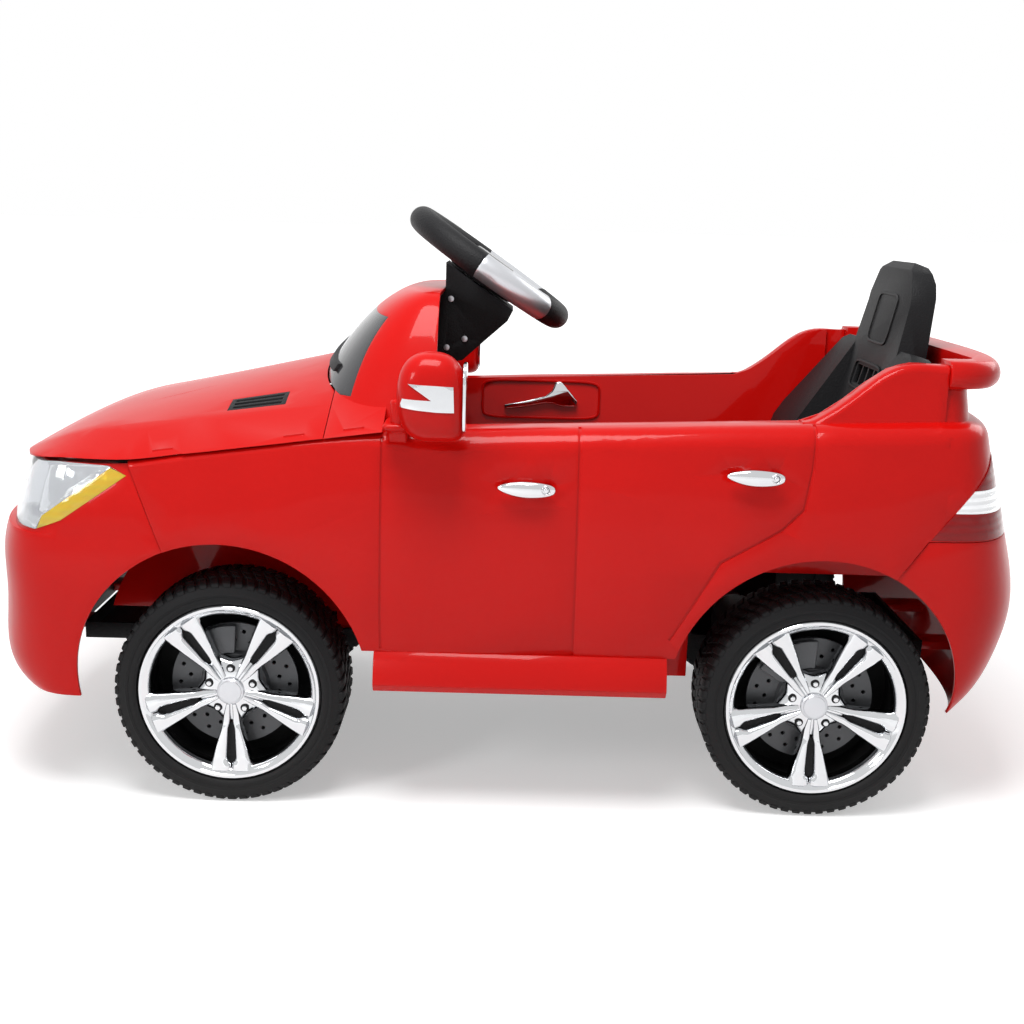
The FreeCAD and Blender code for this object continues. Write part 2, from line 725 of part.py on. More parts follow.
def hump_wire(x, inset, base):
    """Closed section of the left hump."""
    top = hump_top(x) - inset
    bend = min(8.0, (top - base) / 2)
    inner = -d.rim_inner_y - inset
    outer = -d.rim_inner_y - d.hump_thick + inset
    slant = bend * (1 - math.sqrt(0.5))
    edges = [
        Part.makeLine(V(x, inner, base), V(x, inner, top)),
        Part.makeLine(V(x, inner, top), V(x, outer + bend, top)),
        Part.Arc(V(x, outer + bend, top), V(x, outer + slant, top - slant),
                 V(x, outer, top - bend)).toShape(),
        Part.makeLine(V(x, outer, top - bend), V(x, outer, base)),
        Part.makeLine(V(x, outer, base), V(x, inner, base)),
    ]
    return Part.Wire(edges)


def hump_loft(start, inset, base):
    """Left hump from a start station to the rear end."""
    steps = [start + (d.side_end_x - start) * share for share in (0, 0.15, 0.3, 0.45, 0.6, 0.75, 0.88, 1)]
    return Part.makeLoft([hump_wire(x, inset, base) for x in steps], True, False)


B_SEAM_X = d.door_x + 194
seam_lines = [
    [(d.door_x, d.sill_z + 5), (d.door_x, d.rim_front_z - 6)],
    [(B_SEAM_X, d.sill_z - 2), (B_SEAM_X, d.rim_rear_z)],
    [(d.rear_axle_x - 21, d.rim_rear_z + 2), (d.rear_axle_x - 24, d.rim_rear_z - 42),
     (d.rear_axle_x - 31, d.rim_rear_z - 81), (d.rear_axle_x - 52, d.rim_rear_z - 102),
     (d.rear_axle_x - 110, d.rim_rear_z - 136), (d.rear_axle_x - 156, d.rim_rear_z - 218)],
]
whole_side = side_skin(0, d.panel_wall)
door_top = whole_side.common(solid_box((d.fender_x - 20, -OUT_Y, d.fender_tip_z - 40),
                                       (0, -d.tray_front_y, d.hump_z)))
left_side = whole_side.cut([front_arch, rear_arch])
left_side = left_side.fuse([wheel_well(d.front_axle_x, WELL_Y), wheel_well(d.rear_axle_x, d.rim_inner_y + 1)])
left_side = left_side.cut([front_region(d.panel_gap), rear_region(-d.panel_gap), tail_opening])
left_side = left_side.fuse(well_wall)
seam_skin = side_skin(2, d.seam_depth)
seam_bands = [band for line in seam_lines for band in strip(line, d.seam_width)]
left_side = left_side.cut([seam_skin.common(band) for band in seam_bands])
hump_base = d.rim_rear_z - 2 * d.panel_wall
left_hump = hump_loft(d.hump_x - 14, 0, hump_base)
hump_room = hump_loft(d.hump_x + 30, d.panel_wall, hump_base - 20)
left_side = left_side.fuse(left_hump).cut(hump_room)

tail_shell = tail_skin(tail_levels(), d.side_end_x - 8, 0, d.panel_wall)
tail_shell = tail_shell.cut(rear_region(-d.panel_gap))
for opening in both(tail_opening):
    tail_shell = tail_shell.cut(opening)
tail_top = tail_levels()[-1]
deck_reach = d.rim_inner_y + d.hump_thick
deck_wires = [
    end_wire(tail_top[0] - 2 * d.panel_wall, d.tail_x - tail_top[1] + 2, REAR_START, d.side_end_x - 8,
             deck_reach, 0, 2 * d.panel_wall),
    end_wire(d.deck_z, d.tail_x - tail_top[1] - 6, REAR_START, d.side_end_x - 8, deck_reach - 5, 0,
             2 * d.panel_wall),
]
tail_deck = Part.makeLoft(deck_wires, True, True)
body_form = left_side.fuse([left_side.mirror(V(0, 0, 0), V(0, 1, 0)), tail_shell, tail_deck])

# Door handles: chrome grips with a key lock, standing off the doors


def handle(x, z):
    """One left door handle with two feet and a lock."""
    reach = side_reach(x, z)
    grip = Part.makeBox(58, 8, 13, V(x - 29, -reach - 14, z - 6.5))
    grip = grip.makeFillet(3.2, grip.Edges)
    feet = [Part.makeCylinder(4.5, 12, V(x + shift, -reach - 10, z), V(0, 1, 0)) for shift in (-21, 21)]
    lock = Part.makeCylinder(5.5, 3, V(x + 21, -reach - 16, z), V(0, 1, 0))
    return grip.fuse(feet + [lock])


handle_pairs = []
for spot_x, spot_z in ((d.door_x + 143, d.rim_front_z - 49), (d.rear_axle_x - 81, d.rim_rear_z - 49)):
    handle_pairs += both(handle(spot_x, spot_z))
body_form = body_form.cut(handle_pairs)
formed("door_handles", Part.makeCompound(handle_pairs))

# Mirror feet on the door shoulders
MIRROR_X = d.door_x + 15
MIRROR_Y = d.half_width + 7
MIRROR_Z = d.rim_front_z + 14
MIRROR_PIN = 4
foot = Part.makeBox(26, 50, 8, V(MIRROR_X - 13, -MIRROR_Y - 13, MIRROR_Z - 8 - d.side_gap))
foot = foot.makeFillet(3.5, foot.Edges)
post = Part.makeBox(20, 24, 30, V(MIRROR_X - 10, -MIRROR_Y + 8, MIRROR_Z - 34))
foot = largest(foot.fuse(post).cut(side_core(0)))
pin_hole = Part.makeCylinder(MIRROR_PIN + d.running_gap, 40, V(MIRROR_X, -MIRROR_Y, MIRROR_Z - 20),
                             V(0, 0, 1))
foot = foot.cut(pin_hole)
formed("mirror_feet", Part.makeCompound(both(foot)))

formed("body_shell", body_form)

# Rear bumper and rear spoiler
rear_bumper = tail_skin(tail_levels(), REAR_LEG, 0, d.panel_wall).common(rear_region(0)).cut(rear_arch)
BRACKET_LOW = d.tub_floor_z
BRACKET_TOP = d.tub_floor_z + 9
tail_bracket = solid_box((d.tail_x - 80, -90, BRACKET_LOW), (d.tail_x - 29, -60, BRACKET_TOP))
rear_bumper = rear_bumper.fuse(both(tail_bracket))
formed("rear_bumper", rear_bumper)

SPOILER_TIP = d.tail_x - d.spoiler_back
SPOILER_START = d.side_end_x + d.panel_gap
spoiler_wires = []
for lift, shrink in ((0, 5), (0.3, 0), (0.7, 1), (1, 9)):
    z = d.deck_z + lift * d.spoiler_thick
    tip_x = SPOILER_TIP - 1.4 * shrink
    spoiler_wires.append(filled_wire(z, tip_x, SPOILER_START, SPOILER_START, deck_reach + 4 - shrink))
spoiler = Part.makeLoft(spoiler_wires, True, False)
spoiler_gap = solid_box((SPOILER_START - 5, -d.rim_inner_y + 12, d.deck_z - 5),
                        (SPOILER_TIP - d.spoiler_bar, d.rim_inner_y - 12, d.deck_z + 60))
spoiler_gap = spoiler_gap.makeFillet(18, [edge for edge in spoiler_gap.Edges
                                          if abs(edge.Vertexes[0].X - edge.Vertexes[1].X) < 1
                                          and abs(edge.Vertexes[0].Y - edge.Vertexes[1].Y) < 1
                                          and edge.Vertexes[0].X > SPOILER_START])
spoiler = spoiler.cut(spoiler_gap)
formed("rear_spoiler", spoiler)

# Hood, front bumper, grille and front lamps
HOOD_TIP = d.nose_x + d.hood_tip_back
HOOD_REACH = side_reach(d.fender_x, d.nose_top_z) + 2 * d.panel_wall
plan_front = Part.makeLoft([filled_wire(z, HOOD_TIP, FRONT_START, FRONT_LEG, HOOD_REACH)
                            for z in (d.chin_z, d.cowl_top_z)], True, True)
plan_back = solid_box((FRONT_LEG, -OUT_Y, d.chin_z), (d.cowl_x + 20, OUT_Y, d.cowl_top_z))
hood_whole = hood_sheet(HOOD_STATIONS)
hood = hood_whole.common(plan_front).fuse(hood_whole.common(plan_back))
hood = hood.fuse(both(rim_pad(d.fender_x + 32)) + both(rim_pad(d.cowl_x - 30)))
hood = largest(hood.cut([cowl_dome(-d.panel_gap)] + both(door_top)))
VENT_X = d.front_axle_x + 20
VENT_Y = d.hood_crease_y - 27
VENT_LOW = d.hood_crease_z - 10
vent_cut = solid_box((VENT_X - 30, -VENT_Y - 16, VENT_LOW), (VENT_X + 30, -VENT_Y + 16, d.cowl_top_z))
vent = hood.common(vent_cut)
hood = hood.cut(both(vent_cut))
formed("hood_panel", hood)

for slat in range(3):
    slot_y = -VENT_Y - 9 + 9 * slat
    slot = solid_box((VENT_X - 25, slot_y - 2.6, VENT_LOW), (VENT_X + 25, slot_y + 2.6, d.cowl_top_z))
    vent = vent.cut(slot)
formed("hood_vents", Part.makeCompound(both(vent)))

under_hood = Part.makeLoft([under_hood_wire(x, d.panel_wall + d.panel_gap) for x in HOOD_STATIONS], True,
                           False)
bumper_low = nose_skin(NOSE_LOW, 0, d.panel_wall)
bumper_high = nose_skin(NOSE_HIGH, 0, d.panel_wall)
ledge = nose_skin([(d.ledge_z - d.panel_wall, d.ledge_back), (d.ledge_z, d.ledge_back)], 0, 4 * d.panel_wall)
front_bumper = bumper_low.fuse([bumper_high,
                                ledge]).common(front_region(0)).common(under_hood).cut(front_arch)
front_bumper = front_bumper.cut(both(head_opening))
nose_bracket = solid_box((d.nose_x + 7, -90, BRACKET_LOW), (d.nose_x + 80, -60, BRACKET_TOP))
front_bumper = front_bumper.fuse(both(nose_bracket))
GRILLE_Y = d.half_width - 134
GRILLE_TOP = d.ledge_z + 48
GRILLE_LOW = d.ledge_z - 52
grille_outline = [(-GRILLE_Y, GRILLE_TOP), (-GRILLE_Y + 26, GRILLE_LOW), (GRILLE_Y - 26, GRILLE_LOW),
                  (GRILLE_Y, GRILLE_TOP)]
front_bumper = front_bumper.cut(front_block(grille_outline, d.nose_x - 30, d.nose_x + 90))
INTAKE_LOW = d.bumper_z + 8
INTAKE_TOP = d.bumper_z + 44
intake = front_block([(-105, INTAKE_TOP), (-95, INTAKE_LOW), (95, INTAKE_LOW), (105, INTAKE_TOP)],
                     d.nose_x - 30, d.nose_x + 60)
front_bumper = front_bumper.cut(intake)
FOG_Y = d.half_width - 84
FOG_Z = d.bumper_z + 64
fog_cut = Part.makeCylinder(15, 120, V(d.nose_x - 20, -FOG_Y, FOG_Z), V(1, 0, 0))
front_bumper = front_bumper.cut(both(fog_cut))
formed("front_bumper", front_bumper)

fog_core = nose_skin(NOSE_LOW, -1, 16)
fog = fog_core.common(Part.makeCylinder(15, 120, V(d.nose_x - 20, -FOG_Y, FOG_Z), V(1, 0, 0)))
fog_bowl = Part.makeCylinder(10, 60, V(d.nose_x - 5, -FOG_Y, FOG_Z), V(1, 0, 0))
fog = fog.cut(fog_bowl.common(nose_skin(NOSE_LOW, 5, 8)))
formed("fog_lamps", Part.makeCompound(both(fog)))

GRILLE_X = d.nose_x + d.ledge_back + d.ledge_step + 30
grille = front_block([(-GRILLE_Y - 2, GRILLE_TOP + 2), (-112, GRILLE_LOW), (-112, INTAKE_TOP),
                      (-100, BRACKET_TOP),
                      (100, BRACKET_TOP), (112, INTAKE_TOP), (112, GRILLE_LOW), (GRILLE_Y + 2, GRILLE_TOP + 2)],
                     GRILLE_X, GRILLE_X + 5)
bars = []
for bar_z, front_back in ((GRILLE_LOW + 14, 18), (GRILLE_LOW + 38, 24), (GRILLE_TOP - 27, 39)):
    half = GRILLE_Y - 28 + 0.26 * (bar_z - GRILLE_LOW)
    bars.append(solid_box((d.nose_x + front_back, -half, bar_z), (GRILLE_X + 1, half, bar_z + 9)))
grille = grille.fuse(bars)
formed("grille_insert", grille)

head_skin = nose_skin(NOSE_HIGH, 0.6, 2.2).common(under_hood)
lens = head_skin.common(head_opening)
turn_lens = lens.common(turn_opening)
lens = lens.cut(turn_opening)
formed("headlamp_lenses", Part.makeCompound(both(lens)))
formed("turn_lenses", Part.makeCompound(both(turn_lens)))
bowl_outer = nose_skin(NOSE_HIGH, -2.6, 24).common(under_hood).common(head_opening)
bowl_room = nose_skin(NOSE_HIGH, 4, 19).common(side_block(HEAD_OUTLINE, -OUT_Y, -HEAD_INNER_Y - 5))
bowl_room = bowl_room.common(
    solid_box((d.nose_x - 20, -OUT_Y, d.ledge_z + 9), (d.fender_x - 22, 0, d.fender_tip_z - 8)))
bowl = bowl_outer.cut(bowl_room)
formed("headlamp_reflectors", Part.makeCompound(both(bowl)))

# Tail lamps: red lens with a clear band
tail_lens_skin = tail_skin(tail_levels(), REAR_LEG, 0.8, d.panel_wall).common(tail_opening)
band_low = d.tail_seam_z + 30
clear_band = side_block([(d.rear_axle_x + 90, band_low), (d.tail_x + 20, band_low - 4),
                         (d.tail_x + 20, band_low + 20), (d.rear_axle_x + 90, band_low + 22)], -OUT_Y, 0)
formed("tail_lamp_lenses", Part.makeCompound(both(tail_lens_skin.cut(clear_band))))
formed("tail_lamp_bands", Part.makeCompound(both(tail_lens_skin.common(clear_band))))

# Cowl dome with its apron, windscreen and wiper trim
dome_form = cowl_dome(0).cut(solid_box((d.dash_x, -OUT_Y, 0), (DOME_END + 1, OUT_Y, d.cowl_top_z + 9)))
dome_room = cowl_dome(d.panel_wall)
apron = hood_sheet([d.cowl_x + d.panel_gap, (d.cowl_x + d.door_x) / 2, d.door_x])
apron = apron.fuse(both(rim_pad((d.cowl_x + d.door_x) / 2)))
SCREEN_LOW = d.hood_crease_z + 38
screen_outline = [(-d.hood_crease_y + 6, SCREEN_LOW), (-150, d.cowl_top_z - 26), (-70, d.cowl_top_z - 21),
                  (70, d.cowl_top_z - 21), (150, d.cowl_top_z - 26), (d.hood_crease_y - 6, SCREEN_LOW)]
SCREEN_FRONT = d.dash_x - d.cowl_reach - 10
screen_block = front_block(screen_outline, SCREEN_FRONT, d.dash_x - 12)
screen_skin = dome_form.cut(cowl_dome(d.panel_wall / 2))
screen = screen_skin.common(screen_block)
hood_below = Part.makeLoft([under_hood_wire(x, 0) for x in (d.fender_x, d.front_axle_x, d.cowl_x)], True,
                           False)
cowl = dome_form.fuse(apron).cut([dome_room, screen, hood_below])
cowl = largest(cowl.cut(both(under_rim(d.rim_inner_y - d.panel_gap, -0.3)) + both(door_top)))
screen = screen.cut(hood_below)
formed("windscreen_cowl", cowl)
formed("windscreen", screen)
WIPER_LOW = SCREEN_LOW + 20
wiper_block = front_block([(-140, WIPER_LOW), (-140, WIPER_LOW + 8), (140, WIPER_LOW + 32),
                           (140, WIPER_LOW + 24)],
                          SCREEN_FRONT, d.dash_x - 12)
wiper = cowl_dome(-3).cut(cowl_dome(0)).common(wiper_block)

# Dashboard panel with controls inside the cowl
DASH_BACK = d.dash_x - 20
FOOT_TOP = d.rim_front_z - 105
DASH_LOW = FOOT_TOP + 2
dash_room = dome_room.common(
    solid_box((DASH_BACK, -OUT_Y, d.cowl_base_z), (DASH_BACK + d.dash_thick, OUT_Y, d.cowl_top_z)))
TUB_Y = d.rim_inner_y
dash_room = dash_room.cut(both(under_rim(TUB_Y - d.panel_wall, -0.3)) + both(door_top))
dash_lower = solid_box((DASH_BACK, -TUB_Y + d.panel_wall, DASH_LOW),
                       (DASH_BACK + d.dash_thick, TUB_Y - d.panel_wall, d.cowl_base_z + 6))
dash = dash_room.fuse(dash_lower)
SOCKET = V(DASH_BACK + d.dash_thick, 110, d.rim_front_z + 20)
dash = dash.fuse(Part.makeCylinder(8, d.socket_depth + 4, SOCKET, V(-1, 0, 0)))
dash = dash.cut(Part.makeCylinder(d.socket_radius, d.socket_depth, SOCKET, V(-1, 0, 0)))
BUTTON_Y = -80
BUTTON_Z = d.rim_front_z + 37
STEM = d.button_radius - 3
dash = dash.cut(Part.makeCylinder(STEM + 0.3, 40, V(DASH_BACK - 20, BUTTON_Y, BUTTON_Z), V(1, 0, 0)))
ROCKER_Y = 70
ROCKER_Z = BUTTON_Z
rocker_frame = solid_box((DASH_BACK, ROCKER_Y - 15, ROCKER_Z - 20),
                         (DASH_BACK + d.dash_thick + 4, ROCKER_Y + 15, ROCKER_Z + 20))
rocker_hole = solid_box((DASH_BACK - 5, ROCKER_Y - 9, ROCKER_Z - 14),
                        (DASH_BACK + 30, ROCKER_Y + 9, ROCKER_Z + 14))
ROCKER_X = DASH_BACK + d.dash_thick
rocker_pin_hole = Part.makeCylinder(2 + d.running_gap, 24, V(ROCKER_X, ROCKER_Y - 12, ROCKER_Z), V(0, 1, 0))
dash = dash.fuse(rocker_frame).cut(rocker_hole).cut(rocker_pin_hole)
speaker = []
for row in range(5):
    for column in range(7):
        spot = V(DASH_BACK - 5, -150 + 9 * column, d.rim_front_z - 65 + 9 * row)
        speaker.append(Part.makeCylinder(2.2, 20, spot, V(1, 0, 0)))
dash = dash.cut(speaker)
AXIS = V(math.sin(math.radians(d.column_tilt)), 0, math.cos(math.radians(d.column_tilt)))
WHEEL_CENTRE = V(d.column_x, 0, d.column_z)
shaft_room = Part.makeCylinder(d.shaft_radius + 4, 700, WHEEL_CENTRE - AXIS * 600, AXIS)
dash = dash.cut(shaft_room)
formed("dashboard", dash)

BUTTON_X = DASH_BACK + d.dash_thick + d.button_travel
button = Part.makeCylinder(d.button_radius, 7, V(BUTTON_X, BUTTON_Y, BUTTON_Z), V(1, 0, 0))
button = button.fuse(Part.makeCylinder(STEM, 24, V(DASH_BACK - 8, BUTTON_Y, BUTTON_Z), V(1, 0, 0)))
button = button.fuse(Part.makeCylinder(d.button_radius, 2, V(DASH_BACK - 10, BUTTON_Y, BUTTON_Z), V(1, 0, 0)))
formed("power_button", button)

rocker = solid_box((ROCKER_X - 6, ROCKER_Y - 8.6, ROCKER_Z - 12),
                   (ROCKER_X + 8, ROCKER_Y + 8.6, ROCKER_Z + 12))
across = [edge for edge in rocker.Edges if abs(edge.Vertexes[0].Y - edge.Vertexes[1].Y) > 1]
rocker = rocker.makeFillet(2.5, across)
rocker = rocker.fuse(Part.makeCylinder(2, 23, V(ROCKER_X, ROCKER_Y - 11.5, ROCKER_Z), V(0, 1, 0)))
formed("direction_rocker", rocker)

# Cockpit tub with a seat shelf and a foot well
tub_top = [(d.dash_x - 60, d.rim_front_z - 14), (d.door_x + 60, rim_height(d.door_x + 60))]
tub_top += [(d.hump_x - 15, rim_height(d.hump_x - 15))]
for share in (0.2, 0.4, 0.6, 0.8, 1):
    spot_x = d.hump_x - 15 + 107 * share
    tub_top.append((spot_x, hump_top(spot_x)))
tub_top += [(d.tub_rear_x, d.hump_z)]
tub_envelope = side_block([(d.dash_x - 150, 100)] + [(d.dash_x - 150, d.rim_front_z - 14)] + tub_top
                          + [(d.tub_rear_x, 100)], -OUT_Y, OUT_Y)
TUB_FRONT = d.dash_x - 36
FOOT_Y = d.tray_front_y - d.panel_wall - 1
wall = d.panel_wall
tub = solid_box((TUB_FRONT, -TUB_Y, d.tub_floor_z), (d.step_x, TUB_Y, d.hump_z))
tub = tub.fuse(solid_box((d.step_x - wall, -TUB_Y, d.tub_shelf_z), (d.tub_rear_x, TUB_Y, d.hump_z)))
tub = tub.fuse(solid_box((d.foot_x, -FOOT_Y, d.tub_floor_z), (TUB_FRONT + wall, FOOT_Y, FOOT_TOP)))
room = solid_box((TUB_FRONT + wall, -TUB_Y + wall, d.tub_floor_z + wall),
                 (d.step_x - wall, TUB_Y - wall, d.hump_z + 9))
room = room.fuse(solid_box((d.step_x - 2 * wall, -TUB_Y + wall, d.tub_shelf_z + wall),
                           (d.tub_rear_x - wall, TUB_Y - wall, d.hump_z + 9)))
room = room.fuse(solid_box((d.foot_x + wall, -FOOT_Y + wall, d.tub_floor_z + wall),
                           (TUB_FRONT + 2 * wall, FOOT_Y - wall, FOOT_TOP - wall)))
tub = tub.cut(room).common(tub_envelope)
tub = tub.cut(solid_box((TUB_FRONT - 1, -FOOT_Y, FOOT_TOP + 30), (TUB_FRONT + wall + 1, FOOT_Y, d.hump_z)))
tub = tub.cut(solid_box((d.tub_rear_x - wall - 1, -TUB_Y + wall, d.tub_shelf_z + 2 * wall),
                        (d.tub_rear_x + 1, TUB_Y - wall, d.hump_z + 9)))
formed("cockpit_tub", tub)

# Inner door handles


def inner_handle(x, z):
    """Left inner lever on the tub wall."""
    lever = Part.makeBox(96, 9, 11, V(x, -TUB_Y + wall, z))
    ends = [edge for edge in lever.Edges if abs(edge.Vertexes[0].X - edge.Vertexes[1].X) < 1]
    lever = lever.makeFillet(3, ends)
    cup = Part.makeBox(34, 5, 30, V(x, -TUB_Y + wall, z - 9))
    return lever.fuse(cup)


formed("inner_handles", Part.makeCompound(both(inner_handle(d.door_x + 117, d.rim_front_z - 29))))

# Seat: moulded bucket on the shelf
SEAT_Z = d.tub_shelf_z + wall
SEAT_FRONT = d.step_x + 4
SEAT_Y = TUB_Y - wall - 1
BACK_X = d.rear_axle_x + 36
seat_side = [(BACK_X, SEAT_Z), (BACK_X + 22, SEAT_Z + 74), (BACK_X + 52, SEAT_Z + 184),
             (BACK_X + 70, SEAT_Z + 264), (BACK_X + 76, SEAT_Z + 304), (BACK_X + 84, SEAT_Z + 311),
             (BACK_X + 96, SEAT_Z + 306), (BACK_X + 100, SEAT_Z + 289), (BACK_X + 90, SEAT_Z + 204),
             (BACK_X + 42, SEAT_Z + 44), (BACK_X + 30, SEAT_Z)]
seat_room_side = [(BACK_X + 5, SEAT_Z - 5), (BACK_X + 27, SEAT_Z + 74), (BACK_X + 57, SEAT_Z + 184),
                  (BACK_X + 75, SEAT_Z + 264), (BACK_X + 80, SEAT_Z + 297),
                  (BACK_X + 89, SEAT_Z + 289), (BACK_X + 160, SEAT_Z + 144), (BACK_X + 60, SEAT_Z - 5)]
back_outline = [(-94, SEAT_Z - 10), (-94, SEAT_Z + 196), (-84, SEAT_Z + 274), (-66, SEAT_Z + 300),
                (-38, SEAT_Z + 314), (38, SEAT_Z + 314), (66, SEAT_Z + 300), (84, SEAT_Z + 274),
                (94, SEAT_Z + 196), (94, SEAT_Z - 10)]
room_outline = [(-89, SEAT_Z - 10), (-89, SEAT_Z + 196), (-79, SEAT_Z + 272), (-62, SEAT_Z + 295),
                (-36, SEAT_Z + 307), (36, SEAT_Z + 307), (62, SEAT_Z + 295), (79, SEAT_Z + 272),
                (89, SEAT_Z + 196), (89, SEAT_Z - 10)]
seat_back = side_block(seat_side, -150, 150).common(front_block(back_outline, 0, 700))
wing_side = [(BACK_X - 12, SEAT_Z + 106), (BACK_X - 16, SEAT_Z + 94), (BACK_X - 10, SEAT_Z + 10),
             (BACK_X - 6, SEAT_Z), (BACK_X + 44, SEAT_Z), (BACK_X + 84, SEAT_Z + 184),
             (BACK_X + 78, SEAT_Z + 214), (BACK_X + 62, SEAT_Z + 218)]
wing_outline = [(-SEAT_Y, SEAT_Z - 10), (-SEAT_Y, SEAT_Z + 124), (-150, SEAT_Z + 212),
                (-86, SEAT_Z + 230), (-86, SEAT_Z - 10)]
wing = side_block(wing_side, -SEAT_Y, SEAT_Y).common(front_block(wing_outline, 0, 700))
wing_room = side_block([(BACK_X - 7, SEAT_Z + 102), (BACK_X - 5, SEAT_Z - 5), (BACK_X + 130, SEAT_Z - 5),
                        (BACK_X + 130, SEAT_Z + 212),
                        (BACK_X + 64, SEAT_Z + 213)], -SEAT_Y, SEAT_Y).common(
    front_block([(-SEAT_Y + 5, SEAT_Z - 10), (-SEAT_Y + 5, SEAT_Z + 122), (-148, SEAT_Z + 207),
                 (-90, SEAT_Z + 224), (-90, SEAT_Z - 10)], 0, 700))
wing = wing.cut(wing_room)
cushion = Part.makeBox(BACK_X - SEAT_FRONT + 10, 2 * SEAT_Y, 34, V(SEAT_FRONT, -SEAT_Y, SEAT_Z))
cushion = cushion.makeFillet(12, [edge for edge in cushion.Edges
                                  if edge.Vertexes[0].X < SEAT_FRONT + 1 and edge.Vertexes[1].X < SEAT_FRONT + 1
                                  and edge.Vertexes[0].Z > SEAT_Z + 30 and edge.Vertexes[1].Z > SEAT_Z + 30])
cushion = cushion.cut(solid_box((SEAT_FRONT + 5, -SEAT_Y + 5, SEAT_Z - 5),
                                (BACK_X + 30, SEAT_Y - 5, SEAT_Z + 29)))
seat = seat_back.fuse(both(wing) + [cushion])
seat = seat.cut(side_block(seat_room_side, -150, 150).common(front_block(room_outline, 0, 700)))
head_recess = side_block([(BACK_X + 58, SEAT_Z + 232), (BACK_X + 66, SEAT_Z + 230),
                          (BACK_X + 76, SEAT_Z + 274), (BACK_X + 68, SEAT_Z + 278)], -34, 34)
seat = seat.cut(head_recess.common(side_block([(x + 2.4, z) for x, z in seat_side], -40, 40).cut(
    side_block([(x + 5.2, z) for x, z in seat_side], -40, 40))))
slot_outer = front_block([(-44, SEAT_Z + 168), (-44, SEAT_Z + 190), (44, SEAT_Z + 190),
                          (44, SEAT_Z + 168)], BACK_X - 50, BACK_X + 75)
seat = seat.cut(slot_outer.common(side_block([(BACK_X + 30, SEAT_Z + 144), (BACK_X + 75, SEAT_Z + 144),
                                              (BACK_X + 75, SEAT_Z + 204), (BACK_X + 30, SEAT_Z + 204)], -60, 60)))
formed("seat", seat)

# Steering column housing under the wheel
PLANE = V(math.cos(math.radians(d.column_tilt)), 0, -math.sin(math.radians(d.column_tilt)))
HUB_BACK = 20
top_mid = WHEEL_CENTRE - AXIS * (HUB_BACK + 2)
top_front = top_mid - PLANE * 48
top_rear = top_mid + PLANE * 48
column_outline = [(DASH_BACK + d.dash_thick, d.column_z - 108), (d.column_x - 28, d.column_z - 102),
                  (d.column_x - 4, d.column_z - 80), (top_rear.x - 6, top_rear.z - 12),
                  (top_rear.x, top_rear.z), (top_front.x, top_front.z),
                  (DASH_BACK + d.dash_thick, top_front.z - 26)]
housing = side_block(column_outline, -38, 38)
housing = housing.cut(side_block([(DASH_BACK, d.column_z - 98), (d.column_x - 34, d.column_z - 94),
                                  (d.column_x - 12, d.column_z - 74), (top_rear.x - 16, top_rear.z - 8),
                                  (top_front.x + 4, top_front.z - 12), (DASH_BACK, top_front.z - 40)], -33, 33))
shaft_sleeve = Part.makeCylinder(12, 60, WHEEL_CENTRE - AXIS * (HUB_BACK + 65), AXIS)
sleeve_rib = side_block([(top_rear.x - 40, top_rear.z + 6), (top_rear.x - 50, top_rear.z - 10),
                         (d.column_x - 44, d.column_z - 70), (d.column_x - 60, d.column_z - 50),
                         (top_front.x + 20, top_front.z - 20)], -35, 35)
housing = housing.fuse([shaft_sleeve, sleeve_rib])
housing = housing.common(side_block(column_outline, -38, 38))
housing = housing.cut(solid_box((DASH_BACK, -60, d.cowl_top_z - wall - d.side_gap),
                                (d.dash_x + d.side_gap, 60, d.column_z + 60)))
housing = housing.cut(Part.makeCylinder(d.shaft_radius + d.running_gap, 700, WHEEL_CENTRE - AXIS * 600, AXIS))
screw_spots = [V(d.column_x - 46, 0, d.column_z - 88), V(d.column_x - 26, 0, d.column_z - 78),
               V(d.column_x - 42, 0, d.column_z - 34)]
screws = []
for spot in screw_spots:
    for side in (-1, 1):
        head = Part.makeCylinder(3.4, 2, V(spot.x, side * 38, spot.z), V(0, side, 0))
        shank = Part.makeCylinder(1.6, 4, V(spot.x, side * 34, spot.z), V(0, side, 0))
        screws.append(head.fuse(shank))
housing = housing.cut(screws)
formed("column_housing", housing)
formed("housing_screws", Part.makeCompound(screws))

# Steering wheel in its own tilted frame
TILTED = FreeCAD.Placement(WHEEL_CENTRE, FreeCAD.Rotation(V(0, 1, 0), d.column_tilt))
UP = V(0, 0, 1)
ZERO = V(0, 0, 0)


def ring_sector(start, sweep, outer, inner):
    """Part of the steering ring from a start angle, hollow where an inner radius is given."""
    spot = V(d.grip_ring, 0, 0)
    face = Part.Face(Part.Wire(Part.makeCircle(outer, spot, V(0, 1, 0))))
    if inner:
        face = face.cut(Part.Face(Part.Wire(Part.makeCircle(inner, spot, V(0, 1, 0))))).Faces[0]
    sector = face.revolve(ZERO, UP, sweep)
    sector.rotate(ZERO, UP, start)
    return sector


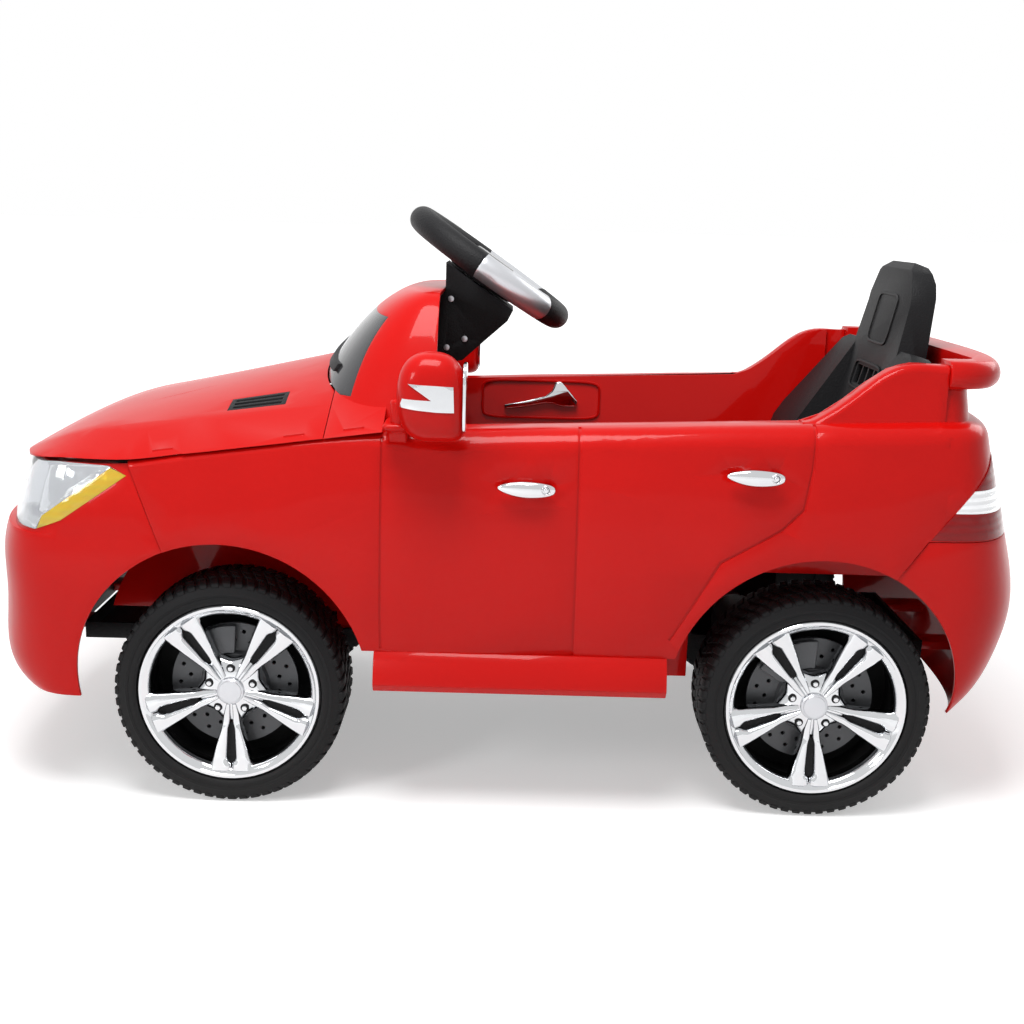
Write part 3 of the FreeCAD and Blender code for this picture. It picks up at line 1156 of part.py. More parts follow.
core_tube = d.grip_tube - 5
grips = [ring_sector(96, 168, d.grip_tube, 0), ring_sector(-42, 84, d.grip_tube, 0)]
cores = [ring_sector(start, 54, core_tube, 0) for start in (42, -96)]
spokes = [solid_box((-12, side * 62 - 34, -6), (20, side * 62 + 34, 6)) for side in (-1, 1)]
spokes.append(solid_box((28, -13, -6), (d.grip_ring, 13, 6)))
hub = Part.makeCylinder(d.hub_ring, HUB_BACK + 9, V(0, 0, -HUB_BACK), UP)
hub = hub.makeFillet(6, [edge for edge in hub.Edges if edge.Closed])
sleeves = [ring_sector(start, 54, d.grip_tube, core_tube).cut(spokes) for start in (42, -96)]
wheel_form = hub.fuse(spokes + grips + cores)
PAD_LOW = 3
RECESS = PAD_LOW - d.horn_travel - 0.5
wheel_form = wheel_form.cut(Part.makeCylinder(d.horn_ring + 0.3, 30, V(0, 0, RECESS), UP))
wheel_form = wheel_form.cut(Part.makeCylinder(d.shaft_radius, 16, V(0, 0, -HUB_BACK - 1), UP))
face_plates = [solid_box((-8, side * 56 - 11, 6), (14, side * 56 + 11, 8.4)) for side in (-1, 1)]
formed("steering_wheel", wheel_form, TILTED)
formed("steering_trim", Part.makeCompound(sleeves + face_plates), TILTED)
pad = Part.makeCylinder(d.horn_ring, 10, V(0, 0, PAD_LOW), UP)
pad = pad.makeFillet(2.5, [edge for edge in pad.Edges if edge.Closed and edge.Vertexes[0].Z > PAD_LOW + 5])
formed("horn_pad", pad, TILTED)

# Steering shaft with its crank, in the same frame
SHAFT_LONG = (d.column_z - d.crank_z) / AXIS.z
shaft_top = -HUB_BACK + 15
shaft = Part.makeCylinder(d.shaft_radius, SHAFT_LONG + shaft_top, V(0, 0, -SHAFT_LONG), UP)
crank = solid_box((-d.crank_arm - 7, -8, -SHAFT_LONG), (9, 8, -SHAFT_LONG + 8))
pin_start = WHEEL_CENTRE - PLANE * d.crank_arm - AXIS * SHAFT_LONG
pin_long = (pin_start.z - d.tie_z + 3) / AXIS.z
crank_pin = Part.makeCylinder(d.crank_pin, pin_long, V(-d.crank_arm, 0, -SHAFT_LONG - pin_long), UP)
formed("steering_shaft", shaft.fuse([crank, crank_pin]), TILTED)

# Tie rod with a long hole for the crank pin
TIE_X = d.front_axle_x - d.steer_arm
SLOT_X = pin_start.x - (pin_start.z - d.tie_z - 2) * AXIS.x / AXIS.z
tie = solid_box((TIE_X - 10, -d.kingpin_y - 10, d.tie_z), (TIE_X + 10, d.kingpin_y + 10, d.tie_z + 4))
tie = tie.fuse(solid_box((min(TIE_X - 10, SLOT_X - 14), -20, d.tie_z), (SLOT_X + 18, 20, d.tie_z + 4)))
tie = tie.cut(solid_box((SLOT_X - 8, -d.crank_pin - 0.9, d.tie_z - 1),
                        (SLOT_X + 11.5, d.crank_pin + 0.9, d.tie_z + 5)))
for side in (-1, 1):
    tie = tie.cut(solid_box((TIE_X - d.crank_pin - 0.5, side * d.kingpin_y - d.crank_pin - 0.5, d.tie_z - 1),
                            (TIE_X + d.crank_pin + 2.4, side * d.kingpin_y + d.crank_pin + 0.5, d.tie_z + 5)))
formed("tie_rod", tie)

# Mirrors: housing on a pin, with chrome arrow and glass
MIRROR_BACK = MIRROR_X - 5 + d.mirror_long
MIRROR_LOW = MIRROR_Z - 10
MIRROR_TOP = MIRROR_LOW + d.mirror_tall
MIRROR_OUT = -MIRROR_Y - d.mirror_wide + 10
mirror = side_block([(MIRROR_X - 5, MIRROR_Z + 18), (MIRROR_X - 2, MIRROR_Z + 44),
                     (MIRROR_X + 22, MIRROR_TOP - 3),
                     (MIRROR_X + 44, MIRROR_TOP), (MIRROR_BACK, MIRROR_TOP - 6), (MIRROR_BACK, MIRROR_LOW),
                     (MIRROR_X + 30, MIRROR_Z + 4)], MIRROR_OUT, MIRROR_OUT + d.mirror_wide)
outer_edges = [edge for edge in mirror.Edges if max(v.Y for v in edge.Vertexes) < MIRROR_OUT + 1
               and min(v.X for v in edge.Vertexes) < MIRROR_BACK - 1]
mirror = mirror.makeFillet(9, outer_edges)
mirror = mirror.fuse(Part.makeCylinder(9, 22, V(MIRROR_X + 3, -MIRROR_Y, MIRROR_Z), UP))
mirror = mirror.fuse(Part.makeCylinder(MIRROR_PIN, 22, V(MIRROR_X, -MIRROR_Y, MIRROR_Z - 12), UP))
glass_low = V(MIRROR_BACK - 6, MIRROR_OUT + 5, MIRROR_LOW + 6)
GLASS_TALL = d.mirror_tall - 18
mirror = mirror.cut(Part.makeBox(20, d.mirror_wide - 10, GLASS_TALL, glass_low))
glass = Part.makeBox(3, d.mirror_wide - 10, GLASS_TALL, glass_low)
ARROW_Z = MIRROR_Z + 32
arrow = side_block([(MIRROR_X + 12, ARROW_Z), (MIRROR_X + 52, ARROW_Z + 13), (MIRROR_X + 40, ARROW_Z),
                    (MIRROR_X + 52, ARROW_Z - 13)], MIRROR_OUT - 1.5, MIRROR_OUT)
trim = Part.makeCompound([glass, arrow])
for side_name, turn in (("left", 0), ("right", 1)):
    formed("mirror_housing_" + side_name, both(mirror)[turn])
    formed("mirror_trim_" + side_name, both(trim)[turn])

# Wheels: tyre with hub, chrome cover and brake disc, each in its own body


def padded_ring(body, name, across, up, radius, rise, long, copies):
    """Round studs repeated about the body's Z axis."""
    sketch = body.newObject("Sketcher::SketchObject", name + "_profile")
    plane = [part for part in body.Origin.OriginFeatures if part.Role == "XY_Plane"][0]
    sketch.AttachmentSupport = [(plane, "")]
    sketch.MapMode = "FlatFace"
    bind(sketch, "AttachmentOffset.Base.z", rise)
    centre = V(number(across), number(up), 0)
    sketch.addGeometry(Part.Circle(centre, UP, number(radius)), False)
    round_rule = sketch.addConstraint(Sketcher.Constraint("Radius", 0, number(radius)))
    bind(sketch, f"Constraints[{round_rule}]", radius)
    across_rule = sketch.addConstraint(Sketcher.Constraint("DistanceX", -1, 1, 0, 3, centre.x))
    bind(sketch, f"Constraints[{across_rule}]", across)
    up_rule = sketch.addConstraint(Sketcher.Constraint("DistanceY", -1, 1, 0, 3, centre.y))
    bind(sketch, f"Constraints[{up_rule}]", up)
    stud = body.newObject("PartDesign::Pad" if float(long) > 0 else "PartDesign::Pocket", name)
    stud.Profile = sketch
    if float(long) > 0:
        stud.Length = float(long)
    else:
        stud.Type = "ThroughAll"
        stud.Midplane = True
    ring = body.newObject("PartDesign::PolarPattern", name + "_ring")
    ring.Originals = [stud]
    ring.Axis = (sketch, ["N_Axis"])
    ring.Angle = 360
    ring.Occurrences = copies
    body.Tip = ring


def wheel(corner, axle_x, side, roll):
    """Tyre, cover and disc of one wheel."""
    outward = FreeCAD.Rotation(V(1, 0, 0), -90 * side) * FreeCAD.Rotation(UP, roll)
    bodies = []
    tyre = doc.addObject("PartDesign::Body", "tyre_" + corner)
    revolved(tyre, "tyre_turn_" + corner, [
        ("axle_radius + running_gap", "-web_back"), ("rim_radius - 1", "-web_back"),
        ("rim_radius - 1", "cover_seat - 5"), ("rim_radius + 5", "cover_seat - 5"),
        ("rim_radius + 5", "tyre_width / 2 - 8"), ("tyre_radius - 8", "tyre_width / 2 - 8"),
        ("tyre_radius - 8", "6 - tyre_width / 2"), ("rim_radius + 8", "6 - tyre_width / 2"),
        ("rim_radius + 8", "-tyre_width / 2"), ("tyre_radius - 4", "-tyre_width / 2"),
        ("tyre_radius", "9 - tyre_width / 2"), ("tyre_radius", "tyre_width / 2 - 12"),
        ("tyre_radius - 2", "tyre_width / 2 - 5"), ("tyre_radius - 6", "tyre_width / 2"),
        ("rim_radius + 0.4", "tyre_width / 2"), ("rim_radius + 0.4", "cover_seat"),
        ("rim_radius - 7", "cover_seat"),
        ("rim_radius - 7", "6 - web_back"), ("hub_radius", "6 - web_back"), ("hub_radius", "cover_seat"),
        ("axle_radius + running_gap", "cover_seat")])
    bodies.append(tyre)
    cover = doc.addObject("PartDesign::Body", "wheel_cover_" + corner)
    revolved(cover, "cover_turn_" + corner, [
        ("axle_radius + 5", "cover_seat + 6.5"), ("26", "cover_seat + 6.5"), ("28", "cover_seat + 11"),
        ("rim_radius - 13", "cover_seat + 13"), ("rim_radius - 13", "cover_seat"),
        ("rim_radius", "cover_seat"),
        ("rim_radius", "tyre_width / 2 - 2"), ("rim_radius - 5", "tyre_width / 2 - 2"),
        ("rim_radius - 11", "cover_seat + 19"), ("28", "cover_seat + 17"), ("24", "cover_seat + 16"),
        ("axle_radius + 5", "cover_seat + 16")])
    revolved(cover, "cap_turn_" + corner, [
        ("0", "cover_seat + 15"), ("14", "cover_seat + 15"), ("15", "cover_seat + 18"),
        ("12", "cover_seat + 21"),
        ("0", "cover_seat + 22")])
    pierced(cover, "cover_window_" + corner, [
        ("33 * cos(-73)", "33 * sin(-73)"), ("33 * cos(-35)", "33 * sin(-35)"),
        ("(rim_radius - 15) * cos(-33)", "(rim_radius - 15) * sin(-33)"),
        ("(rim_radius - 14) * cos(-54)", "(rim_radius - 14) * sin(-54)"),
        ("(rim_radius - 15) * cos(-75)", "(rim_radius - 15) * sin(-75)")], 5)
    pierced(cover, "cover_slot_" + corner, [
        ("-2.5", "-38"), ("2.5", "-38"), ("5", "18 - rim_radius"), ("-5", "18 - rim_radius")], 5)
    padded_ring(cover, "lug_" + corner, "22 * cos(-54)", "22 * sin(-54)", "3.6", "cover_seat + 15", "4", 5)
    bodies.append(cover)
    disc = doc.addObject("PartDesign::Body", "brake_disc_" + corner)
    revolved(disc, "disc_turn_" + corner, [
        ("hub_radius", "cover_seat - 12"), ("disc_radius", "cover_seat - 12"),
        ("disc_radius", "cover_seat - 8"),
        ("disc_radius - 30", "cover_seat - 8"), ("disc_radius - 32", "cover_seat - 2"),
        ("hub_radius", "cover_seat - 2")])
    padded_ring(disc, "disc_hole_" + corner, "disc_radius - 9", "0", "2.2", "0", "0", 18)
    padded_ring(disc, "disc_mid_" + corner, "(disc_radius - 19) * cos(10)", "(disc_radius - 19) * sin(10)",
                "2.2", "0", "0", 18)
    bodies.append(disc)
    for body in bodies:
        body.Placement = FreeCAD.Placement(V(axle_x, side * d.wheel_y, d.tyre_radius), outward)
        node(body.Name, body)


wheel("front_left", d.front_axle_x, -1, 0)
wheel("front_right", d.front_axle_x, 1, 0)
wheel("rear_left", d.rear_axle_x, -1, 8)
wheel("rear_right", d.rear_axle_x, 1, 8)

# Knuckles: kingpin, stub axle and steering arm in one steel piece
left_knuckle = fused(
    rod("y", ("front_axle_x", "-wheel_y - cover_seat - 14", "tyre_radius"), "axle_radius",
        "wheel_y + cover_seat + 14 - kingpin_y"),
    rod("y", ("front_axle_x", "-wheel_y - cover_seat - 6", "tyre_radius"), "9", "6 - side_gap"),
    rod("y", ("front_axle_x", "-wheel_y + web_back + side_gap", "tyre_radius"), "8",
        "wheel_y - web_back - side_gap - kingpin_y"),
    rod("z", ("front_axle_x", "-kingpin_y", "tyre_radius - 10"), "10",
        "tray_z - 4 - side_gap - tyre_radius + 10"),
    rod("z", ("front_axle_x", "-kingpin_y", "tyre_radius"), "axle_radius",
        "boss_top_z + side_gap + 5 - tyre_radius"),
    block(("front_axle_x - steer_arm - 7", "-kingpin_y - 7", "boss_top_z + side_gap"),
          ("front_axle_x + 8", "-kingpin_y + 7", "tie_z - side_gap")),
    rod("z", ("front_axle_x - steer_arm", "-kingpin_y", "tie_z - side_gap - 1"), "crank_pin", "8 + side_gap"))
node("knuckle_left", left_knuckle)
node("knuckle_right", flipped(left_knuckle))

# Running boards under the doors
BOARD_Y = d.half_width + 4


def board_block(shrink, low_z):
    """Left board outline, smaller by the shrink, between its ends."""
    outline = [(-d.rim_inner_y - shrink, low_z), (-BOARD_Y + 6 + shrink, low_z),
               (-BOARD_Y + shrink, d.tray_z + 8),
               (-BOARD_Y + 6 + shrink, d.sill_z - 8 - shrink), (-BOARD_Y + 13 + shrink, d.sill_z - shrink),
               (-d.rim_inner_y - shrink, d.sill_z - shrink)]
    return front_block(outline, d.board_front_x + shrink, d.board_rear_x - shrink)


board = board_block(0, d.tray_z).cut(board_block(d.panel_wall, d.tray_z - 5))
formed("running_boards", Part.makeCompound(both(board)))

# Chassis tray with bosses and bearings
front_pan = trimmed(
    block(("nose_x + 80", "-tray_front_y", "tray_z"), ("board_front_x + 10", "tray_front_y", "tray_wall_z")),
    block(("nose_x + 84", "-tray_front_y + panel_wall", "tub_floor_z"),
          ("board_front_x + 20", "tray_front_y - panel_wall", "tray_wall_z + 5")))
rear_floor = block(("board_rear_x - 10", "-tray_rear_y", "tray_z"),
                   ("tail_x - 80", "tray_rear_y", "tub_floor_z"))
rear_pan = trimmed(
    block(("step_x + 1", "-tray_rear_y", "tray_z"), ("tail_x - 80", "tray_rear_y", "tray_wall_z")),
    block(("step_x - 5", "-tray_rear_y + panel_wall", "tub_floor_z"),
          ("tail_x - 84", "tray_rear_y - panel_wall", "tray_wall_z + 5")))
middle_pan = block(("board_front_x", "-rim_inner_y", "tray_z"),
                   ("board_rear_x", "rim_inner_y", "tub_floor_z"))
boss_arm = block(("front_axle_x - 15", "tray_front_y - 3", "tray_z"),
                 ("front_axle_x + 15", "kingpin_y", "boss_top_z"))
boss = rod("z", ("front_axle_x", "kingpin_y", "tray_z - 4"), "14", "boss_top_z - tray_z + 4")
bearing = block(("rear_axle_x - 14", "tray_rear_y - 20", "tyre_radius - 12"),
                ("rear_axle_x + 14", "tray_rear_y - 2", "tray_z + 1"))
pedestal = block(("front_axle_x + 14", "-16", "tray_z + 1"), ("front_axle_x + 50", "16", "tray_wall_z + 62"))
skid_pad = block(("board_front_x + 14", "-90", "pad_z"), ("board_rear_x - 13", "90", "tray_z + 1"))
shaft_bore = doc.addObject("Part::Cylinder", "Rod")
shaft_bore.Placement = FreeCAD.Placement(V(0, 0, 0), FreeCAD.Rotation(V(0, 1, 0), 1))
bind(shaft_bore, "Placement.Rotation.Angle", "column_tilt")
bind(shaft_bore, "Radius", "shaft_radius + running_gap")
bind(shaft_bore, "Height", "600")
bind(shaft_bore, "Placement.Base.x", "column_x - 600 * sin(column_tilt)")
bind(shaft_bore, "Placement.Base.z", "column_z - 600 * cos(column_tilt)")
kingpin_bore = rod("z", ("front_axle_x", "kingpin_y", "0"), "axle_radius + running_gap", "300")
axle_bore = rod("y", ("rear_axle_x", "-300", "tyre_radius"), "axle_radius", "600")
tray = trimmed(
    fused(front_pan, rear_floor, rear_pan, middle_pan, boss_arm, flipped(boss_arm), boss, flipped(boss),
          bearing, flipped(bearing), pedestal, skid_pad),
    shaft_bore, kingpin_bore, flipped(kingpin_bore), axle_bore)
node("chassis_tray", tray)

# Rear axle with inner collars and end nuts
rear_axle = fused(
    rod("y", ("rear_axle_x", "-wheel_y - cover_seat - 14", "tyre_radius"), "axle_radius",
        "2 * (wheel_y + cover_seat + 14)"),
    rod("y", ("rear_axle_x", "-wheel_y - cover_seat - 6", "tyre_radius"), "9", "6 - side_gap"),
    rod("y", ("rear_axle_x", "wheel_y + cover_seat + side_gap", "tyre_radius"), "9", "6 - side_gap"),
    rod("y", ("rear_axle_x", "-wheel_y + web_back + side_gap", "tyre_radius"), "8", "8"),
    rod("y", ("rear_axle_x", "wheel_y - web_back - side_gap - 8", "tyre_radius"), "8", "8"))
node("rear_axle", rear_axle)

# Gearbox housing beside the tray and its motor
GEAR_Y = "3 - wheel_y + tyre_width / 2"
GEAR_WIDE = "wheel_y - tyre_width / 2 - 3 - tray_rear_y"
gearbox = trimmed(
    fused(rod("y", ("rear_axle_x", GEAR_Y, "tyre_radius"), "34", GEAR_WIDE),
          block(("rear_axle_x - 78", GEAR_Y, "tyre_radius - 12"),
                ("rear_axle_x", "-tray_rear_y", "tyre_radius + 34")),
          rod("y", ("rear_axle_x - 64", GEAR_Y, "tyre_radius + 54"), "26", GEAR_WIDE),
          block(("rear_axle_x - 90", GEAR_Y, "tyre_radius + 10"),
                ("rear_axle_x - 30", "-tray_rear_y", "tyre_radius + 54"))),
    rod("y", ("rear_axle_x", "-300", "tyre_radius"), "axle_radius + 1", "300"))
node("gearbox_housing", gearbox)
motor = fused(
    rod("y", ("rear_axle_x - 64", "-tray_rear_y", "tyre_radius + 54"), "18", "52"),
    rod("y", ("rear_axle_x - 64", "52 - tray_rear_y", "tyre_radius + 54"), "6", "4"))
node("drive_motor", motor)

# Battery and control box on the tray
battery = fused(
    block(("rear_axle_x - 105", "-28", "tub_floor_z"), ("rear_axle_x - 5", "62", "tub_floor_z + 70")),
    block(("rear_axle_x - 96", "-20", "tub_floor_z + 69"), ("rear_axle_x - 86", "-10", "tub_floor_z + 76")),
    block(("rear_axle_x - 96", "44", "tub_floor_z + 69"), ("rear_axle_x - 86", "54", "tub_floor_z + 76")))
node("battery", battery)
control = fused(
    block(("rear_axle_x + 20", "-45", "tub_floor_z"), ("rear_axle_x + 90", "45", "tub_floor_z + 28")),
    block(("rear_axle_x + 30", "-52", "tub_floor_z"), ("rear_axle_x + 80", "52", "tub_floor_z + 4")))
node("control_box", control)

# Foot pedal on a pin between two ears
pedal_base = fused(
    block(("foot_x + 68", "36", "tub_floor_z + panel_wall"),
          ("foot_x + 88", "40", "tub_floor_z + panel_wall + 20")),
    block(("foot_x + 68", "88", "tub_floor_z + panel_wall"),
          ("foot_x + 88", "92", "tub_floor_z + panel_wall + 20")),
    block(("foot_x + 62", "36", "tub_floor_z + panel_wall"),
          ("foot_x + 94", "92", "tub_floor_z + panel_wall + 3")),
    rod("y", ("foot_x + 78", "36", "tub_floor_z + panel_wall + 13"), "3", "56"))
node("pedal_base", pedal_base)
PEDAL_PIN = V(d.foot_x + 78, 41, d.tub_floor_z + d.panel_wall + 13)
plate = Part.makeBox(62, 46, 5, V(-66, 0, 1))
plate = plate.fuse(Part.makeCylinder(6.5, 46, V(0, 0, 0), V(0, 1, 0)))
for tread in range(6):
    plate = plate.fuse(Part.makeBox(3, 40, 2, V(-62 + 9 * tread, 3, 5.5)))
plate = plate.cut(Part.makeCylinder(3 + d.running_gap, 60, V(0, -5, 0), V(0, 1, 0)))
formed("foot_pedal", plate, FreeCAD.Placement(PEDAL_PIN, FreeCAD.Rotation(V(0, 1, 0), 32)))

# Wiper trim at the foot of the windscreen
formed("wiper_trim", wiper)

doc.recompute()

# Checks and export
for item in doc.Objects:
    if "Invalid" in item.State or "Error" in item.State:
        raise RuntimeError("bad object " + item.Label)
for item in NODES:
    shape = item.Shape
    if shape.isNull() or not shape.isValid() or not shape.Solids:
        raise RuntimeError("bad shape " + item.Label)
    shape.exportStep("parts/" + item.Label + ".step")
print(len(NODES), "pieces")
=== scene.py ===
import json
import logging
import math
from collections.abc import Sequence
from dataclasses import dataclass
from enum import Enum

import bpy
from mathutils import Matrix, Vector


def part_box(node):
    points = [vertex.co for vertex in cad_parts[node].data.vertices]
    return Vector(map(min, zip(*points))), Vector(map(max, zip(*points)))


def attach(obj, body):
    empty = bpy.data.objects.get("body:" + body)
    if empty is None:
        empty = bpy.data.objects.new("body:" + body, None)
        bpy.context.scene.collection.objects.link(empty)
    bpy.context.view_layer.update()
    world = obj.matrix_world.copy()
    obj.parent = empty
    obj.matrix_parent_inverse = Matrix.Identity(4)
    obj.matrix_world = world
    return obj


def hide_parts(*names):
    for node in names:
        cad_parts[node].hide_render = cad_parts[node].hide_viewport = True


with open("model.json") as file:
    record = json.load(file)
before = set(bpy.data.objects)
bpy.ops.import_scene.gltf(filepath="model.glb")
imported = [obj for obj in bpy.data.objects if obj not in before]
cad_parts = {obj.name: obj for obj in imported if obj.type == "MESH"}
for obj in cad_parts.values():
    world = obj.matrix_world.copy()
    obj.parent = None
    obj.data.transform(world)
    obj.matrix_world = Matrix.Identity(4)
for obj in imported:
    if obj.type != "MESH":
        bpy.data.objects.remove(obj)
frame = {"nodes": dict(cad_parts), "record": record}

LOG = logging.getLogger("ride_on_car")
Colour = tuple[float, float, float]
Point = tuple[float, float, float]
Pair = tuple[float, float]
Rows = Sequence[Pair]
Piece = bpy.types.Object


class Grain(Enum):
    """How a surface is broken up under the finger."""

    PEEL = "peel"
    PEBBLE = "pebble"
    BRUSH = "brush"
    FLUTE = "flute"


class Side(Enum):
    """Which side of the car a piece sits on; the value is the sign of y."""

    LEFT = -1.0
    RIGHT = 1.0

    @property
    def word(self) -> str:
        """The side as the pieces' names spell it."""
        return self.name.lower()


WHEELS: tuple[tuple[str, Side], ...] = tuple(
    (f"{end}_{side.word}", side) for end in ("front", "rear") for side in Side)


def squared(angle: float, power: float) -> Pair:
    """A point of a circle pushed out towards a square.

    Args:
        angle: where on the circle, in radians.
        power: 1 for the circle, less for squarer.
    Returns:
        Its place across and up, from -1 to 1.
    """
    across, rise = math.cos(angle), math.sin(angle)
    return math.copysign(abs(across) ** power, across), math.copysign(abs(rise) ** power, rise)


class Sock:
    """A shader output that can be used in Python sums."""

    def __init__(self, sheet: "Sheet", out: bpy.types.NodeSocket) -> None:
        """Keeps the sheet and the output socket."""
        self.sheet = sheet
        self.out = out

    def sum(self, operation: str, first: "Sock | float", second: "Sock | float",
            clamp: bool = False) -> "Sock":
        """Adds one Math node.

        Args:
            operation: the Math node's operation.
            first: left value or link.
            second: right value or link.
            clamp: keep the answer between 0 and 1.
        Returns:
            The answer as a new socket.
        """
        settings = {"operation": operation, "use_clamp": clamp}
        made = self.sheet.node("ShaderNodeMath", settings, {0: first, 1: second})
        return Sock(self.sheet, made.outputs[0])

    def __add__(self, other: "Sock | float") -> "Sock":
        """This value plus another."""
        return self.sum("ADD", self, other)

    def __radd__(self, other: float) -> "Sock":
        """A number plus this value."""
        return self.sum("ADD", other, self)

    def __sub__(self, other: "Sock | float") -> "Sock":
        """This value less another."""
        return self.sum("SUBTRACT", self, other)

    def __rsub__(self, other: float) -> "Sock":
        """A number less this value."""
        return self.sum("SUBTRACT", other, self)

    def __mul__(self, other: "Sock | float") -> "Sock":
        """This value times another."""
        return self.sum("MULTIPLY", self, other)

    def __rmul__(self, other: float) -> "Sock":
        """A number times this value."""
        return self.sum("MULTIPLY", other, self)

    def __truediv__(self, other: "Sock | float") -> "Sock":
        """This value over another."""
        return self.sum("DIVIDE", self, other)

    def __rtruediv__(self, other: float) -> "Sock":
        """A number over this value."""
        return self.sum("DIVIDE", other, self)

    def clamped(self) -> "Sock":
        """This value held between 0 and 1."""
        return self.sum("ADD", self, 0.0, True)


class Sheet:
    """The node tree of a material or the world."""

    def __init__(self, owner: bpy.types.Material | bpy.types.World) -> None:
        """Opens the owner's node tree at its shader.

        Args:
            owner: the material or the world.
        """
        owner.use_nodes = True
        self.owner = owner
        self.tree = owner.node_tree
        kinds = ("BSDF_PRINCIPLED", "BACKGROUND")
        self.shader = next(node for node in self.tree.nodes if node.type in kinds)

    def node(self, kind: str, settings: dict[str, object] | None = None,
             values: dict[str | int, object] | None = None) -> bpy.types.Node:
        """Makes one node.

        Args:
            kind: the node's type name.
            settings: its own settings; stops holds a ramp's places and greys.
            values: its sockets' numbers or links.
        Returns:
            The new node.
        """
        made = self.tree.nodes.new(kind)
        for key, value in (settings or {}).items():
            if key == "stops":
                for element, (place, grey) in zip(made.color_ramp.elements, value):
                    element.position = place
                    element.color = (grey, grey, grey, 1.0)
            else:
                setattr(made, key, value)
        for key, value in (values or {}).items():
            self.feed(made.inputs[key], value)
        return made

    def feed(self, socket: bpy.types.NodeSocket, value: object) -> None:
        """Links or sets one input socket.

        Args:
            socket: the input.
            value: a link, or the number or colour to set.
        """
        if isinstance(value, Sock):
            self.tree.links.new(value.out, socket)
        else:
            socket.default_value = value

    def set(self, **values: object) -> None:
        """Feeds the shader, with _ for a space in a socket's name."""
        for key, value in values.items():
            self.feed(self.shader.inputs[key.replace("_", " ")], value)

    def place(self) -> Sock:
        """Object coordinates."""
        return Sock(self, self.node("ShaderNodeTexCoord").outputs["Object"])

    def stretched(self, place: Sock, scale: Point) -> Sock:
        """Coordinates stretched along the axes."""
        made = self.node("ShaderNodeMapping", None, {"Vector": place, "Scale": scale})
        return Sock(self, made.outputs[0])

    def height(self, place: Sock) -> Sock:
        """The z coordinate."""
        made = self.node("ShaderNodeSeparateXYZ", None, {"Vector": place})
        return Sock(self, made.outputs["Z"])

    def shown(self) -> Sock:
        """One for the rays that see the background, and nought for those that light the car.

        Returns:
            A value of 0 or 1.
        """
        paths = self.node("ShaderNodeLightPath")
        rays = [Sock(self, paths.outputs[f"Is {kind} Ray"]) for kind in ("Camera", "Glossy", "Transmission")]
        return (rays[0] + rays[1] + rays[2]).clamped()

    def noise(self, place: Sock, scale: float, detail: float = 3.0) -> Sock:
        """Cloudy noise, about 0 to 1, with so many patches per metre."""
        values = {"Vector": place, "Scale": scale, "Detail": detail}
        return Sock(self, self.node("ShaderNodeTexNoise", None, values).outputs[0])

    def cells(self, place: Sock, scale: float) -> Sock:
        """Distance to the nearest cell centre, for pebbled grain."""
        values = {"Vector": place, "Scale": scale}
        return Sock(self, self.node("ShaderNodeTexVoronoi", None, values).outputs["Distance"])

    def waves(self, place: Sock, scale: float) -> Sock:
        """Level moulded flutes, from 0 to 1, with about so many per metre."""
        values = {"Vector": place, "Scale": scale}
        return Sock(self, self.node("ShaderNodeTexWave", {"bands_direction": "Z"}, values).outputs["Fac"])

    def ramp(self, value: Sock, low: float, high: float) -> Sock:
        """A step from 0 at low to 1 at high."""
        made = self.node("ShaderNodeValToRGB", {"stops": ((low, 0.0), (high, 1.0))}, {"Fac": value})
        return Sock(self, made.outputs["Color"])

    def mix(self, mask: Sock, first: Colour | Sock, second: Colour) -> Sock:
        """Mixes two colours.

        Args:
            mask: 0 for the first colour, 1 for the second.
            first: a colour, or the link of one.
            second: a colour.
        Returns:
            The mixed colour.
        """
        start = first if isinstance(first, Sock) else (*first, 1.0)
        values = {0: mask, 6: start, 7: (*second, 1.0)}
        made = self.node("ShaderNodeMix", {"data_type": "RGBA"}, values)
        return Sock(self, made.outputs[2])

    def bump(self, height: Sock, depth: float, strength: float) -> None:
        """Raises the surface by a height map.

        Args:
            height: the map.
            depth: metres for a height of 1.
            strength: share of the effect.
        """
        values = {"Height": height, "Distance": depth, "Strength": strength}
        made = self.node("ShaderNodeBump", None, values)
        self.set(Normal=Sock(self, made.outputs[0]))


DUST_COLOUR: Colour = (0.33, 0.30, 0.27)
DUST_HEIGHT = 0.22
CLOUDS_PER_METRE = 9.0
SCUFFS_PER_METRE = 55.0
SCUFF_STRETCH: Point = (1.0, 3.0, 5.0)
SCUFF_EDGES: Pair = (0.58, 0.78)
SCUFF_DUST = 0.35
DUST_DULLS = 0.4
CLOUD_SHARE = 0.7
GRAIN_SHARE = 0.3
PEBBLE_FINER = 2.3
PEBBLE_FINE_SHARE = 0.5
BRUSH_STRETCH: Point = (1.0, 14.0, 14.0)
FLUTE_SPECKS_PER_METRE = 220.0
FLUTE_SPECK_SHARE = 0.1
LACQUER_ROUGHNESS = 0.05
LACQUER_WEAR = 2.0
LENS_IOR = 1.46


